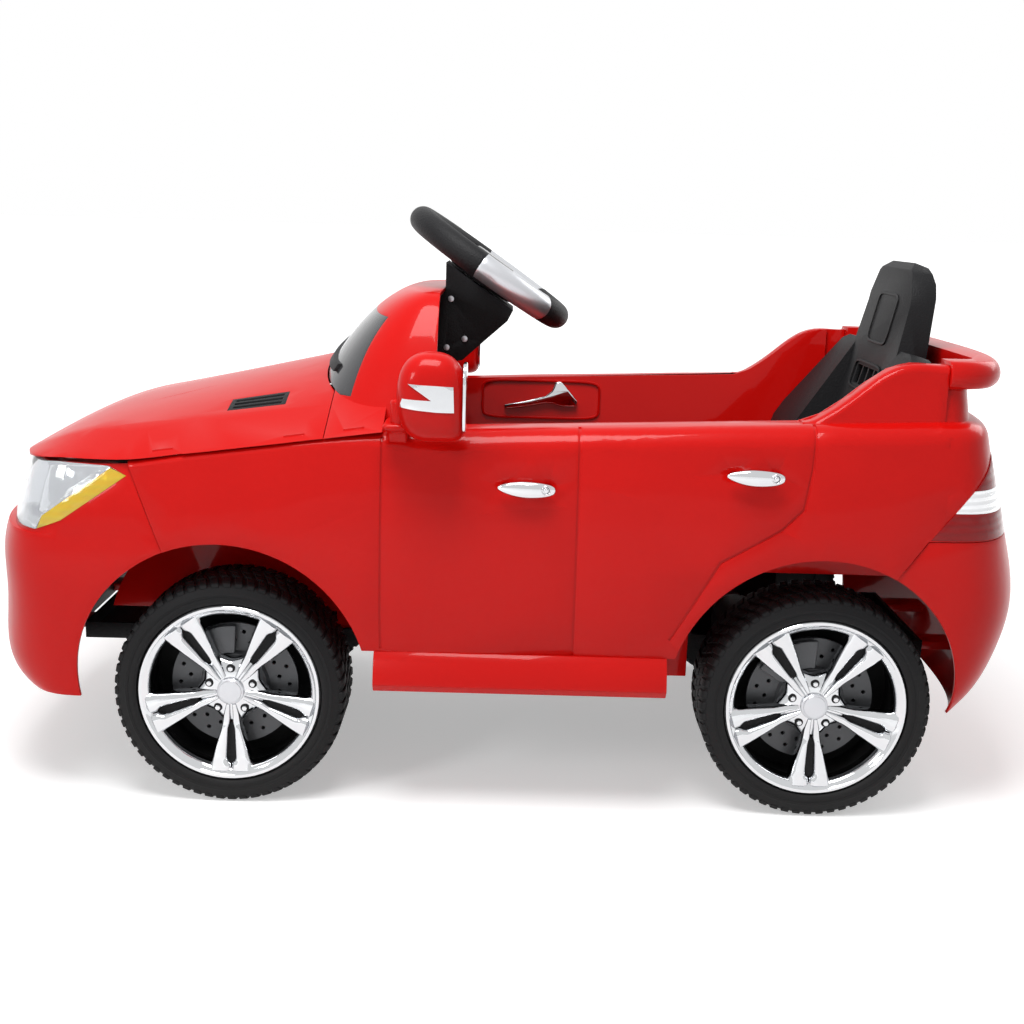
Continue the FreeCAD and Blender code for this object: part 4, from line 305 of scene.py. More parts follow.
@dataclass(frozen=True)
class Finish:
    """A surface of the car, from paint to rubber."""

    name: str
    slot: str
    colour: Colour
    second: Colour
    smooth: float
    dull: float
    grain: Grain
    per_metre: float
    depth: float
    strength: float = 0.4
    metallic: float = 0.0
    coat: float = 0.0
    clear: float = 0.0
    dust: float = 0.0
    shine: float = 0.5
    scuffs: float = 0.06

    def pattern(self, sheet: Sheet, place: Sock) -> Sock:
        """The fine grain's height map.

        Args:
            sheet: the material being made.
            place: coordinates.
        Returns:
            A value about 0 to 1.
        """
        if self.grain is Grain.PEBBLE:
            cells = sheet.cells(place, self.per_metre)
            return cells + sheet.noise(place, self.per_metre * PEBBLE_FINER) * PEBBLE_FINE_SHARE
        if self.grain is Grain.BRUSH:
            return sheet.noise(sheet.stretched(place, BRUSH_STRETCH), self.per_metre)
        if self.grain is Grain.FLUTE:
            flutes = sheet.waves(place, self.per_metre)
            return flutes + sheet.noise(place, FLUTE_SPECKS_PER_METRE) * FLUTE_SPECK_SHARE
        return sheet.noise(place, self.per_metre, 2.0)

    def material(self) -> bpy.types.Material:
        """Builds the material.

        Returns:
            A material whose colour, gloss and relief vary over the surface.
        """
        sheet = Sheet(bpy.data.materials.new(self.name))
        place = sheet.place()
        cloud = sheet.noise(place, CLOUDS_PER_METRE, 4.0)
        scuff = sheet.noise(sheet.stretched(place, SCUFF_STRETCH), SCUFFS_PER_METRE, 6.0)
        scuff = sheet.ramp(scuff, *SCUFF_EDGES)
        fine = self.pattern(sheet, place)
        low = (1.0 - sheet.height(place) / DUST_HEIGHT).clamped()
        dust = (low * cloud * self.dust + scuff * self.dust * SCUFF_DUST).clamped()
        patches = (cloud * CLOUD_SHARE + fine * GRAIN_SHARE).clamped()
        base = sheet.mix(patches, self.colour, self.second)
        sheet.set(Base_Color=sheet.mix(dust, base, DUST_COLOUR))
        rough = cloud * (self.dull - self.smooth) + scuff * self.scuffs + self.smooth
        sheet.set(Roughness=(rough + dust * DUST_DULLS).clamped())
        sheet.set(Metallic=self.metallic, Specular_IOR_Level=self.shine)
        if self.coat:
            lacquer = (self.coat - scuff * self.scuffs * LACQUER_WEAR).clamped()
            sheet.set(Coat_Weight=lacquer, Coat_Roughness=LACQUER_ROUGHNESS)
        if self.clear:
            sheet.set(Transmission_Weight=self.clear, IOR=LENS_IOR)
        sheet.bump(fine, self.depth, self.strength)
        return sheet.owner


class Finishes:
    """Every finish on the car, made once."""

    LIST: tuple[Finish, ...] = (
        Finish("gloss_red_panel", "body_paint", (0.56, 0.005, 0.0035), (0.49, 0.003, 0.002),
               0.26, 0.34, Grain.PEEL, 190.0, 0.0002, 0.03, coat=0.22, dust=0.015, shine=0.05, scuffs=0.01),
        Finish("grained_black_plastic", "dark_plastic", (0.007, 0.007, 0.008), (0.016, 0.016, 0.017),
               0.40, 0.56, Grain.PEBBLE, 520.0, 0.0006, 0.5, dust=0.02, shine=0.12),
        Finish("dark_gloss_panel", "gloss_black", (0.022, 0.023, 0.025), (0.036, 0.038, 0.042),
               0.12, 0.24, Grain.PEEL, 340.0, 0.0002, 0.06, coat=0.5, dust=0.03, shine=0.3),
        Finish("plated_chrome", "chrome_trim", (0.66, 0.67, 0.68), (0.55, 0.56, 0.58),
               0.04, 0.10, Grain.PEEL, 180.0, 0.0003, 0.06, metallic=1.0),
        Finish("silver_paint", "silver_trim", (0.62, 0.63, 0.65), (0.52, 0.53, 0.56),
               0.24, 0.36, Grain.PEEL, 900.0, 0.0002, 0.12, metallic=0.75, coat=0.3),
        Finish("zinc_steel", "axle_steel", (0.52, 0.52, 0.54), (0.40, 0.40, 0.43),
               0.26, 0.42, Grain.BRUSH, 160.0, 0.0003, 0.2, metallic=1.0, dust=0.08),
        Finish("disc_plastic", "disc_grey", (0.060, 0.063, 0.068), (0.095, 0.098, 0.105),
               0.34, 0.48, Grain.BRUSH, 140.0, 0.0004, 0.25, metallic=0.25, dust=0.06),
        Finish("tyre_rubber", "tyre_black", (0.006, 0.006, 0.0065), (0.013, 0.013, 0.014),
               0.46, 0.66, Grain.PEEL, 700.0, 0.0005, 0.3, dust=0.03, shine=0.14),
        Finish("clear_lens_plastic", "clear_lens", (0.96, 0.97, 0.98), (0.92, 0.93, 0.95),
               0.03, 0.07, Grain.PEEL, 90.0, 0.0004, 0.05, clear=0.96),
        Finish("amber_lens_plastic", "amber_lens", (0.80, 0.47, 0.01), (0.72, 0.56, 0.03),
               0.06, 0.14, Grain.FLUTE, 40.0, 0.0005, 0.3, clear=0.35, coat=0.4),
        Finish("red_lens_plastic", "red_lens", (0.30, 0.002, 0.003), (0.18, 0.001, 0.002),
               0.06, 0.12, Grain.FLUTE, 40.0, 0.0006, 0.35, coat=0.30, shine=0.10),
        Finish("silvered_lens", "silvered_lens", (0.86, 0.87, 0.88), (0.72, 0.73, 0.75),
               0.10, 0.20, Grain.FLUTE, 45.0, 0.0014, 0.5, metallic=0.7, coat=0.8),
        Finish("mirror_glass", "mirror_glass", (0.62, 0.64, 0.66), (0.56, 0.58, 0.60),
               0.03, 0.06, Grain.PEEL, 60.0, 0.0002, 0.03, metallic=1.0, coat=0.4),
    )

    def __init__(self) -> None:
        """Starts with no material made."""
        self.made: dict[str, bpy.types.Material] = {}

    def by_slot(self, slot: str) -> bpy.types.Material:
        """The material of a slot.

        Args:
            slot: the slot's name.
        Returns:
            The finish's material.
        """
        if slot not in self.made:
            finish = next(one for one in self.LIST if one.slot == slot)
            self.made[slot] = finish.material()
        return self.made[slot]


class Bench:
    """Modelling steps shared by all the pieces."""

    MERGE: float = 0.00001
    CAD_MERGE: float = 0.000005

    def __init__(self, finishes: Finishes) -> None:
        """Keeps the finishes and looks up each node's slot and body.

        Args:
            finishes: every finish on the car.
        """
        self.finishes = finishes
        self.slot_of = {row["node"]: row["material_slot"] for row in frame["record"]["subparts"]}
        groups = frame["record"]["behaviour"]["bodies"]
        self.body_of = {node: body for body, nodes in groups.items() for node in nodes}

    def pick(self, piece: Piece) -> None:
        """Selects one object alone and makes it active.

        Args:
            piece: the object.
        """
        for other in bpy.context.selected_objects:
            other.select_set(False)
        piece.select_set(True)
        bpy.context.view_layer.objects.active = piece

    def edit(self, piece: Piece) -> None:
        """Opens a piece in edit mode with everything selected.

        Args:
            piece: the object.
        """
        self.pick(piece)
        bpy.ops.object.mode_set(mode="EDIT")
        bpy.ops.mesh.select_all(action="SELECT")

    def done(self) -> None:
        """Leaves edit mode."""
        bpy.ops.object.mode_set(mode="OBJECT")

    def outward(self) -> None:
        """Points the open piece's faces outwards and leaves edit mode."""
        bpy.ops.mesh.select_all(action="SELECT")
        bpy.ops.mesh.normals_make_consistent(inside=False)
        self.done()

    def turned_out(self, piece: Piece) -> None:
        """Points a closed mesh's faces outwards."""
        self.edit(piece)
        self.outward()

    def modified(self, piece: Piece, kind: str, **settings: object) -> None:
        """Adds a modifier and applies it.

        Args:
            piece: the object.
            kind: the modifier's type.
            settings: its settings.
        """
        self.pick(piece)
        bpy.ops.object.modifier_add(type=kind)
        made = piece.modifiers[-1]
        for key, value in settings.items():
            setattr(made, key, value)
        bpy.ops.object.modifier_apply(modifier=made.name)

    def outline(self, name: str, points: list[Point], fill: bool = True) -> Piece:
        """Adds a ring of points as a mesh.

        Args:
            name: the piece's name.
            points: the ring, in metres.
            fill: close it with a face.
        Returns:
            The new object at the origin.
        """
        bpy.ops.mesh.primitive_circle_add(vertices=len(points), fill_type="NGON" if fill else "NOTHING")
        piece = bpy.context.object
        piece.name = name
        for vertex, point in zip(piece.data.vertices, points):
            vertex.co = point
        return piece

    def raise_face(self, piece: Piece, step: Point) -> None:
        """Pulls an open sheet out into a solid.

        Args:
            piece: the sheet.
            step: how far and which way, in metres.
        """
        self.edit(piece)
        bpy.ops.mesh.extrude_region_move(TRANSFORM_OT_translate={"value": step})
        self.outward()

    def plate(self, name: str, points: list[Point], step: Point) -> Piece:
        """Makes a solid with a flat outline.

        Args:
            name: the piece's name.
            points: its outline, in metres.
            step: its thickness and the way it goes.
        Returns:
            The plate.
        """
        piece = self.outline(name, points)
        self.raise_face(piece, step)
        return piece

    def lathed(self, name: str, rows: Rows, steps: int) -> Piece:
        """Turns a profile about the y axis into a closed ring.

        Args:
            name: the piece's name.
            rows: the profile as radius and y.
            steps: faces round the axis.
        Returns:
            The ring about the origin.
        """
        ring = self.outline(name, [(reach, y, 0.0) for reach, y in rows], False)
        self.edit(ring)
        bpy.ops.mesh.spin(steps=steps, angle=math.tau, center=(0.0, 0.0, 0.0), axis=(0.0, 1.0, 0.0))
        bpy.ops.mesh.select_all(action="SELECT")
        bpy.ops.mesh.remove_doubles(threshold=self.MERGE)
        self.outward()
        return ring

    def settled(self) -> Piece:
        """The newest object, with its place and turn put into its mesh.

        Returns:
            The object at the origin.
        """
        piece = bpy.context.object
        self.pick(piece)
        bpy.ops.object.transform_apply(location=True, rotation=True, scale=True)
        return piece

    def eased(self, piece: Piece, width: float, angle: float = 32.0, segments: int = 2) -> None:
        """Rounds the sharp edges.

        Args:
            piece: the object.
            width: the rounding, in metres.
            angle: edges sharper than this, in degrees, are rounded.
            segments: faces across the rounding.
        """
        self.modified(piece, "BEVEL", width=width, segments=segments, limit_method="ANGLE",
                      angle_limit=math.radians(angle))

    def soft(self, piece: Piece, angle: float = 32.0) -> None:
        """Shades smooth across edges flatter than an angle, in degrees."""
        self.pick(piece)
        bpy.ops.object.shade_smooth_by_angle(angle=math.radians(angle))

    def joined(self, pieces: list[Piece], name: str) -> Piece:
        """Joins objects into one.

        Args:
            pieces: the objects; the first one stays.
            name: its new name.
        Returns:
            The joined object.
        """
        self.pick(pieces[0])
        for piece in pieces[1:]:
            piece.select_set(True)
        bpy.ops.object.join()
        pieces[0].name = name
        return pieces[0]

    def copied(self, piece: Piece, name: str, move: Matrix) -> Piece:
        """Copies a piece with its own mesh, moved within the mesh.

        Args:
            piece: the model.
            name: the copy's name.
            move: how its points move.
        Returns:
            The copy.
        """
        mesh = piece.data.copy()
        mesh.transform(move)
        twin = bpy.data.objects.new(name, mesh)
        bpy.context.scene.collection.objects.link(twin)
        return twin

    def carried(self, node: str, ending: str) -> Piece:
        """Copies a CAD node and merges the copy's loose triangles.

        Args:
            node: the CAD node.
            ending: what its name gets at the end.
        Returns:
            The merged copy, still open in edit mode.
        """
        piece = self.copied(frame["nodes"][node], node + ending, Matrix.Identity(4))
        self.edit(piece)
        bpy.ops.mesh.customdata_custom_splitnormals_clear()
        bpy.ops.mesh.remove_doubles(threshold=self.CAD_MERGE)
        return piece

    def dress(self, piece: Piece, slot: str, body: str, nodes: tuple[str, ...] = (),
              finish: str = "") -> None:
        """Gives a piece its finish, body and the nodes it stands for.

        Args:
            piece: the object.
            slot: the record's slot.
            body: the body it moves with.
            nodes: CAD nodes that it replaces.
            finish: a finish other than the slot's own.
        """
        piece.data.materials.clear()
        piece.data.materials.append(self.finishes.by_slot(finish or slot))
        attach(piece, body)
        if nodes:
            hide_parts(*nodes)
        LOG.info("%s on %s, %d faces", piece.name, body, len(piece.data.polygons))

    def stand_in(self, piece: Piece, node: str, finish: str = "") -> None:
        """Dresses a piece as the CAD node that it replaces."""
        self.dress(piece, self.slot_of[node], self.body_of[node], (node,), finish)


@dataclass
class Fitting:
    """A sub-assembly of the car and the bench that it is made on."""

    bench: Bench


@dataclass
class Panel(Fitting):
    """A CAD node carried over with merged faces, rounded edges and smooth shading."""

    node: str
    rounding: float = 0.0
    finish: str = ""
    slack: float = 0.0
    sharp: float = 32.0
    flat: float = 0.4

    def build(self) -> None:
        """Finishes a copy of the node and puts it in the node's place."""
        piece = self.bench.carried(self.node, "_panel")
        bpy.ops.mesh.dissolve_limited(angle_limit=math.radians(self.flat))
        if self.slack:
            bpy.ops.transform.shrink_fatten(value=-self.slack)
        self.bench.done()
        if self.rounding:
            self.bench.eased(piece, self.rounding, self.sharp)
        self.bench.soft(piece, self.sharp)
        self.bench.stand_in(piece, self.node, self.finish)


@dataclass
class Tyre(Fitting):
    """A moulded tyre with shoulder lugs and a blocked tread."""

    radius: float = 0.119
    half_width: float = 0.042
    rim: float = 0.0952
    groove: float = 0.0022
    crown: float = 0.0006
    hub: float = 0.018
    bore: float = 0.0055
    seat: float = 0.014
    web: float = 0.030
    web_thick: float = 0.006
    web_edge: float = 0.003
    barrel: float = 0.007
    lugs: int = 60
    lug_edge: float = 0.0007
    outer_sweep: float = 0.66
    outer_lean: float = 0.35
    middle_sweep: float = 0.62
    middle_lean: float = 0.45
    offsets: tuple[float, ...] = (0.0, 0.5, 0.45, 0.95)
    wall: Rows = ((0.0, 0.003), (0.0022, 0.0006), (0.005, 0.0), (0.0075, 0.001), (0.0085, 0.0003),
                  (0.0105, 0.0003), (0.0115, 0.0012))
    shoulder: Rows = ((-0.0045, 0.0022), (-0.0012, 0.0052), (0.0, 0.01))
    back: Rows = ((0.0085, -0.0003), (0.003, -0.0004), (-0.002, -0.004))
    shoulder_lug: Rows = ((-0.0062, 0.002), (-0.0022, 0.0034), (-0.0008, 0.0066), (0.0, 0.011), (0.0, 0.023),
                          (-0.0032, 0.0235), (-0.0062, 0.007))
    middle_lug: Rows = ((-0.0032, -0.0155), (0.0, -0.015), (0.0, -0.0015), (-0.0032, -0.001))

    def carcass(self) -> Piece:
        """The round body under the tread.

        Returns:
            A closed ring about the y axis, outer face towards minus y.
        """
        base = self.radius - self.groove
        half = self.half_width
        inner = self.web - self.web_thick
        barrel = self.rim - self.barrel
        rows = [(self.rim, -self.seat)]
        rows += [(self.rim + reach, y - half) for reach, y in self.wall]
        rows += [(base + reach, y - half) for reach, y in self.shoulder]
        rows += [(base + self.crown, 0.0)]
        rows += [(base + reach, half - y) for reach, y in reversed(self.shoulder)]
        rows += [(self.rim + reach, half + y) for reach, y in self.back]
        rows += [(self.rim - self.web_edge, self.web), (self.hub, self.web), (self.bore, self.web)]
        rows += [(self.bore, -self.seat), (self.hub, -self.seat), (self.hub, inner)]
        rows += [(barrel, inner), (barrel, -self.seat)]
        ring = self.bench.lathed("tyre_carcass", rows, 96)
        self.bench.soft(ring, 40.0)
        return ring

    def lug(self, name: str, rows: Rows, sweep: float, lean: float) -> Piece:
        """One tread block.

        Args:
            name: the block's name.
            rows: its outline as radius and y.
            sweep: its angle round the tyre, in radians.
            lean: how far its inner end is turned on, in radians.
        Returns:
            The block beside the z = 0 plane.
        """
        low = min(y for _, y in rows)
        high = max(y for _, y in rows)
        points = [(reach, y, 0.0) for reach, y in rows]
        block = self.bench.plate(name, points, (0.0, 0.0, self.radius * sweep))
        for vertex in block.data.vertices:
            share = (vertex.co.y - low) / (high - low)
            turn = vertex.co.z / self.radius - sweep / 2.0 + lean * share
            reach = vertex.co.x
            vertex.co = (reach * math.cos(turn), vertex.co.y, reach * math.sin(turn))
        self.bench.eased(block, self.lug_edge, 30.0, 1)
        return block

    def model(self) -> Piece:
        """Models one tyre about the origin.

        Returns:
            The whole tyre.
        """
        step = math.tau / self.lugs
        outer = [(self.radius + reach, y - self.half_width) for reach, y in self.shoulder_lug]
        near = [(self.radius + reach, y) for reach, y in self.middle_lug]
        inner, far = ([(reach, -y) for reach, y in reversed(rows)] for rows in (outer, near))
        sweep, lean = step * self.outer_sweep, step * self.outer_lean
        blocks = [self.lug("tyre_lug_outer", outer, sweep, lean)]
        blocks += [self.lug("tyre_lug_inner", inner, sweep, -lean)]
        sweep, lean = step * self.middle_sweep, step * self.middle_lean
        blocks += [self.lug("tyre_lug_near", near, sweep, lean), self.lug("tyre_lug_far", far, sweep, lean)]
        ring = [self.carcass()]
        for block, offset in zip(blocks, self.offsets):
            for index in range(self.lugs):
                turn = Matrix.Rotation((index + offset) * step, 4, "Y")
                ring.append(self.bench.copied(block, "tyre_lug_copy", turn))
            bpy.data.objects.remove(block)
        return self.bench.joined(ring, "tyre_model")

    def build(self) -> None:
        """Copies the modelled tyre onto the four wheels, each with its caliper."""
        model = self.model()
        caliper = Caliper(self.bench)
        for corner, side in WHEELS:
            node = "tyre_" + corner
            low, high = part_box(node)
            turn = Matrix.Identity(4) if side is Side.LEFT else Matrix.Rotation(math.pi, 4, "Z")
            piece = self.bench.copied(model, node + "_tread", Matrix.Translation((low + high) / 2.0) @ turn)
            self.bench.dress(piece, "tyre_black", self.bench.body_of[node], (node,))
            caliper.fit(corner, side)
        bpy.data.objects.remove(model)


@dataclass
class WheelCover(Fitting):
    """A plated cover with five pinched twin spokes, bolts and a plain cap."""

    rim: float = 0.0948
    spokes: int = 5
    first: float = 54.0
    cap: float = 0.0142
    bolt_ring: float = 0.0235
    bolt_foot: float = 0.027
    bolt_head: tuple[float, int, float] = (0.0029, 6, 0.0312)
    bolt_seat: tuple[float, int, float] = (0.0046, 20, 0.0290)
    bolt_edge: float = 0.22
    hub_front: float = 0.0290
    hub_back: float = 0.0150
    slot_thick: float = 0.0030
    slot_edge: float = 0.0006
    arm_thick: float = 0.008
    arm_fall: float = 0.004
    ridge: float = 0.0013
    ridge_place: float = 0.35
    star: float = 0.13
    star_start: float = 0.02
    star_reach: float = 0.0165
    arm: tuple[tuple[float, float, float, float], ...] = (
        (0.0150, 0.0005, 0.0056, 0.0300), (0.0260, 0.0008, 0.0086, 0.0298), (0.0350, 0.0010, 0.0098, 0.0304),
        (0.0410, 0.0028, 0.0108, 0.0314), (0.0540, 0.0034, 0.0148, 0.0330), (0.0680, 0.0040, 0.0186, 0.0348),
        (0.0745, 0.0042, 0.0202, 0.0358), (0.0785, 0.0006, 0.0212, 0.0364), (0.0850, 0.0004, 0.0228, 0.0374),
    )
    lip_rows: Rows = (
        (0.0, -0.0150), (0.0, -0.0350), (-0.0006, -0.0384), (-0.0024, -0.0400), (-0.0052, -0.0396),
        (-0.0072, -0.0374), (-0.0086, -0.0366), (-0.0110, -0.0346), (-0.0122, -0.0310), (-0.0122, -0.0180),
        (-0.0100, -0.0150),
    )
    hub_rows: Rows = ((0.0200, -0.0284), (0.0270, -0.0270), (0.0330, -0.0240), (0.0365, -0.0190),
                      (0.0365, -0.0150))
    cap_rows: Rows = (
        (0.0, -0.0352), (0.62, -0.0350), (0.80, -0.0346), (0.84, -0.0338), (0.90, -0.0338), (0.97, -0.0330),
        (1.0, -0.0310), (1.0, -0.0160), (0.0, -0.0160),
    )
    slot_floor: tuple[Point, ...] = ((0.0360, -0.0262, -0.0030), (0.0800, -0.0290, -0.0062),
                                     (0.0800, -0.0290, 0.0062), (0.0360, -0.0262, 0.0030))

    def across(self, reach: float) -> Point:
        """One section of a spoke's arm.

        Args:
            reach: distance from the axle.
        Returns:
            The arm's inner edge, outer edge and height there.
        """
        for near, far in zip(self.arm, self.arm[1:]):
            if reach <= far[0]:
                break
        share = (reach - near[0]) / (far[0] - near[0])
        return tuple(low + (high - low) * share for low, high in zip(near[1:], far[1:]))

    def lip(self) -> Piece:
        """The polished ring round the spokes.

        Returns:
            The ring about the y axis.
        """
        ring = self.bench.lathed("cover_lip", [(self.rim + reach, y) for reach, y in self.lip_rows], 96)
        self.bench.soft(ring, 38.0)
        return ring

    def blade(self) -> Piece:
        """One arm of a twin spoke, along plus x beside the z = 0 plane.

        Returns:
            The arm with its ridged outer face.
        """
        bpy.ops.mesh.primitive_grid_add(x_subdivisions=24, y_subdivisions=10, size=2.0)
        arm = bpy.context.object
        arm.name = "cover_arm"
        start, end = self.arm[0][0], self.arm[-1][0]
        for vertex in arm.data.vertices:
            reach = start + (end - start) * (vertex.co.x + 1.0) / 2.0
            inner, outer, height = self.across(reach)
            over = vertex.co.y
            ridge = self.ridge * (1.0 - abs(over + self.ridge_place) / (1.0 + self.ridge_place))
            fall = self.arm_fall * abs(over) ** 6 - ridge
            vertex.co = (reach, fall - height, (inner + outer) / 2.0 + over * (outer - inner) / 2.0)
        self.bench.raise_face(arm, (0.0, self.arm_thick, 0.0))
        self.bench.soft(arm, 30.0)
        return arm

    def hub(self) -> Piece:
        """The star-shaped middle under the spokes' roots.

        Returns:
            The hub about the y axis.
        """
        rows = [(self.cap, -self.hub_front), *self.hub_rows, (self.cap, -self.hub_back)]
        ring = self.bench.lathed("cover_hub", rows, 80)
        for vertex in ring.data.vertices:
            angle = math.atan2(vertex.co.z, vertex.co.x) - math.radians(self.first)
            past = max(math.hypot(vertex.co.x, vertex.co.z) - self.star_start, 0.0)
            grow = 1.0 + self.star * math.cos(self.spokes * angle) * past / self.star_reach
            vertex.co.x *= grow
            vertex.co.z *= grow
        self.bench.soft(ring, 38.0)
        return ring

    def bolt(self, radius: float, sides: int, top: float) -> Piece:
        """One round or six-sided head on the bolt ring.

        Args:
            radius: its size.
            sides: its number of flats.
            top: how far out it stands.
        Returns:
            The head at the angle of plus x.
        """
        angles = [math.tau * index / sides for index in range(sides)]
        points = [(self.bolt_ring + radius * math.cos(angle), -self.bolt_foot, radius * math.sin(angle))
                  for angle in angles]
        head = self.bench.plate("cover_bolt", points, (0.0, self.bolt_foot - top, 0.0))
        self.bench.eased(head, radius * self.bolt_edge, 40.0)
        self.bench.soft(head)
        return head

    def plain_cap(self) -> Piece:
        """The plain cap over the axle's end.

        Returns:
            The cap about the y axis.
        """
        piece = self.bench.lathed("cover_cap", [(self.cap * share, y) for share, y in self.cap_rows], 48)
        self.bench.soft(piece, 35.0)
        return piece

    def liner(self) -> Piece:
        """The black floor of one spoke's slot.

        Returns:
            The floor along plus x.
        """
        plate = self.bench.plate("cover_slot", list(self.slot_floor), (0.0, self.slot_thick, 0.0))
        self.bench.eased(plate, self.slot_edge, 30.0, 1)
        return plate

    def around(self, piece: Piece, angle: float) -> list[Piece]:
        """Repeats a piece round the axle and removes the first.

        Args:
            piece: the piece along plus x.
            angle: the first copy's angle, in degrees.
        Returns:
            The copies.
        """
        turns = [math.radians(angle + 360.0 / self.spokes * index) for index in range(self.spokes)]
        name = piece.name + "_copy"
        copies = [self.bench.copied(piece, name, Matrix.Rotation(-turn, 4, "Y")) for turn in turns]
        bpy.data.objects.remove(piece)
        return copies

    def model(self) -> dict[str, Piece]:
        """Models one cover about the origin, facing minus y.

        Returns:
            Its pieces by slot.
        """
        near = self.blade()
        far = self.bench.copied(near, "cover_arm_far", Matrix.Diagonal((1.0, 1.0, -1.0, 1.0)))
        between = self.first + 180.0 / self.spokes
        plated = [self.lip(), self.hub()]
        plated += self.around(near, self.first) + self.around(far, self.first)
        plated += self.around(self.bolt(*self.bolt_head), between)
        black = self.around(self.liner(), self.first)
        black += self.around(self.bolt(*self.bolt_seat), between)
        chrome = self.bench.joined(plated, "cover_plated")
        self.bench.turned_out(chrome)
        return {"chrome_trim": chrome, "dark_plastic": self.bench.joined(black, "cover_black"),
                "silver_trim": self.plain_cap()}

    def build(self) -> None:
        """Copies the modelled cover onto the four wheels."""
        models = self.model()
        for corner, side in WHEELS:
            node = "wheel_cover_" + corner
            low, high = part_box("tyre_" + corner)
            turn = Matrix.Identity(4) if side is Side.LEFT else Matrix.Diagonal((1.0, -1.0, 1.0, 1.0))
            move = Matrix.Translation((low + high) / 2.0) @ turn
            for slot, model in models.items():
                piece = self.bench.copied(model, f"{model.name}_{corner}", move)
                self.bench.turned_out(piece)
                nodes = (node,) if slot == "chrome_trim" else ()
                self.bench.dress(piece, slot, self.bench.body_of[node], nodes)
        for model in models.values():
            bpy.data.objects.remove(model)


@dataclass
class Caliper(Fitting):
    """A moulded caliper over the edge of a brake disc."""

    inner: float = 0.036
    outer: float = 0.0655
    middle: float = 118.0
    sweep: float = 62.0
    steps: int = 8
    thick: float = 0.0055
    sunk: float = 0.001
    rounding: float = 0.0016

    def fit(self, corner: str, side: Side) -> None:
        """Models one caliper on its disc.

        Args:
            corner: the wheel, by end and side.
            side: the side of the car.
        """
        shares = [index / self.steps - 0.5 for index in range(self.steps + 1)]
        angles = [math.radians(self.middle + self.sweep * share) for share in shares]
        ring = [(self.outer, angle) for angle in angles] + [(self.inner, angle) for angle in reversed(angles)]
        node = "brake_disc_" + corner
        low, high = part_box(node)
        centre = (low + high) / 2.0
        back = (low.y if side is Side.LEFT else high.y) - side.value * self.sunk
        points = [(centre.x + reach * math.cos(angle), back, centre.z + reach * math.sin(angle))
                  for reach, angle in ring]
        piece = self.bench.plate(node + "_caliper", points, (0.0, side.value * self.thick, 0.0))
        self.bench.eased(piece, self.rounding, 30.0, 3)
        self.bench.soft(piece)
        self.bench.dress(piece, "disc_grey", self.bench.body_of[node])


@dataclass
class MirrorFeet(Fitting):
    """The mirrors' feet, with their blocks melted into one soft form that leans into the door."""

    node: str = "mirror_feet"
    voxel: float = 0.0016
    smoothing: int = 24
    smooth_share: float = 0.5
    lean: float = 0.7
    lean_depth: float = 0.008

    def build(self) -> None:
        """Remeshes and smooths the node's copy."""
        piece = self.bench.carried(self.node, "_soft")
        self.bench.done()
        self.bench.modified(piece, "REMESH", mode="VOXEL", voxel_size=self.voxel)
        self.bench.modified(piece, "SMOOTH", factor=self.smooth_share, iterations=self.smoothing)
        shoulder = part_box(self.node)[1].z - self.lean_depth
        for vertex in piece.data.vertices:
            below = max(shoulder - vertex.co.z, 0.0)
            vertex.co.y -= math.copysign(self.lean * below, vertex.co.y)
        self.bench.soft(piece, 60.0)
        self.bench.stand_in(piece, self.node)


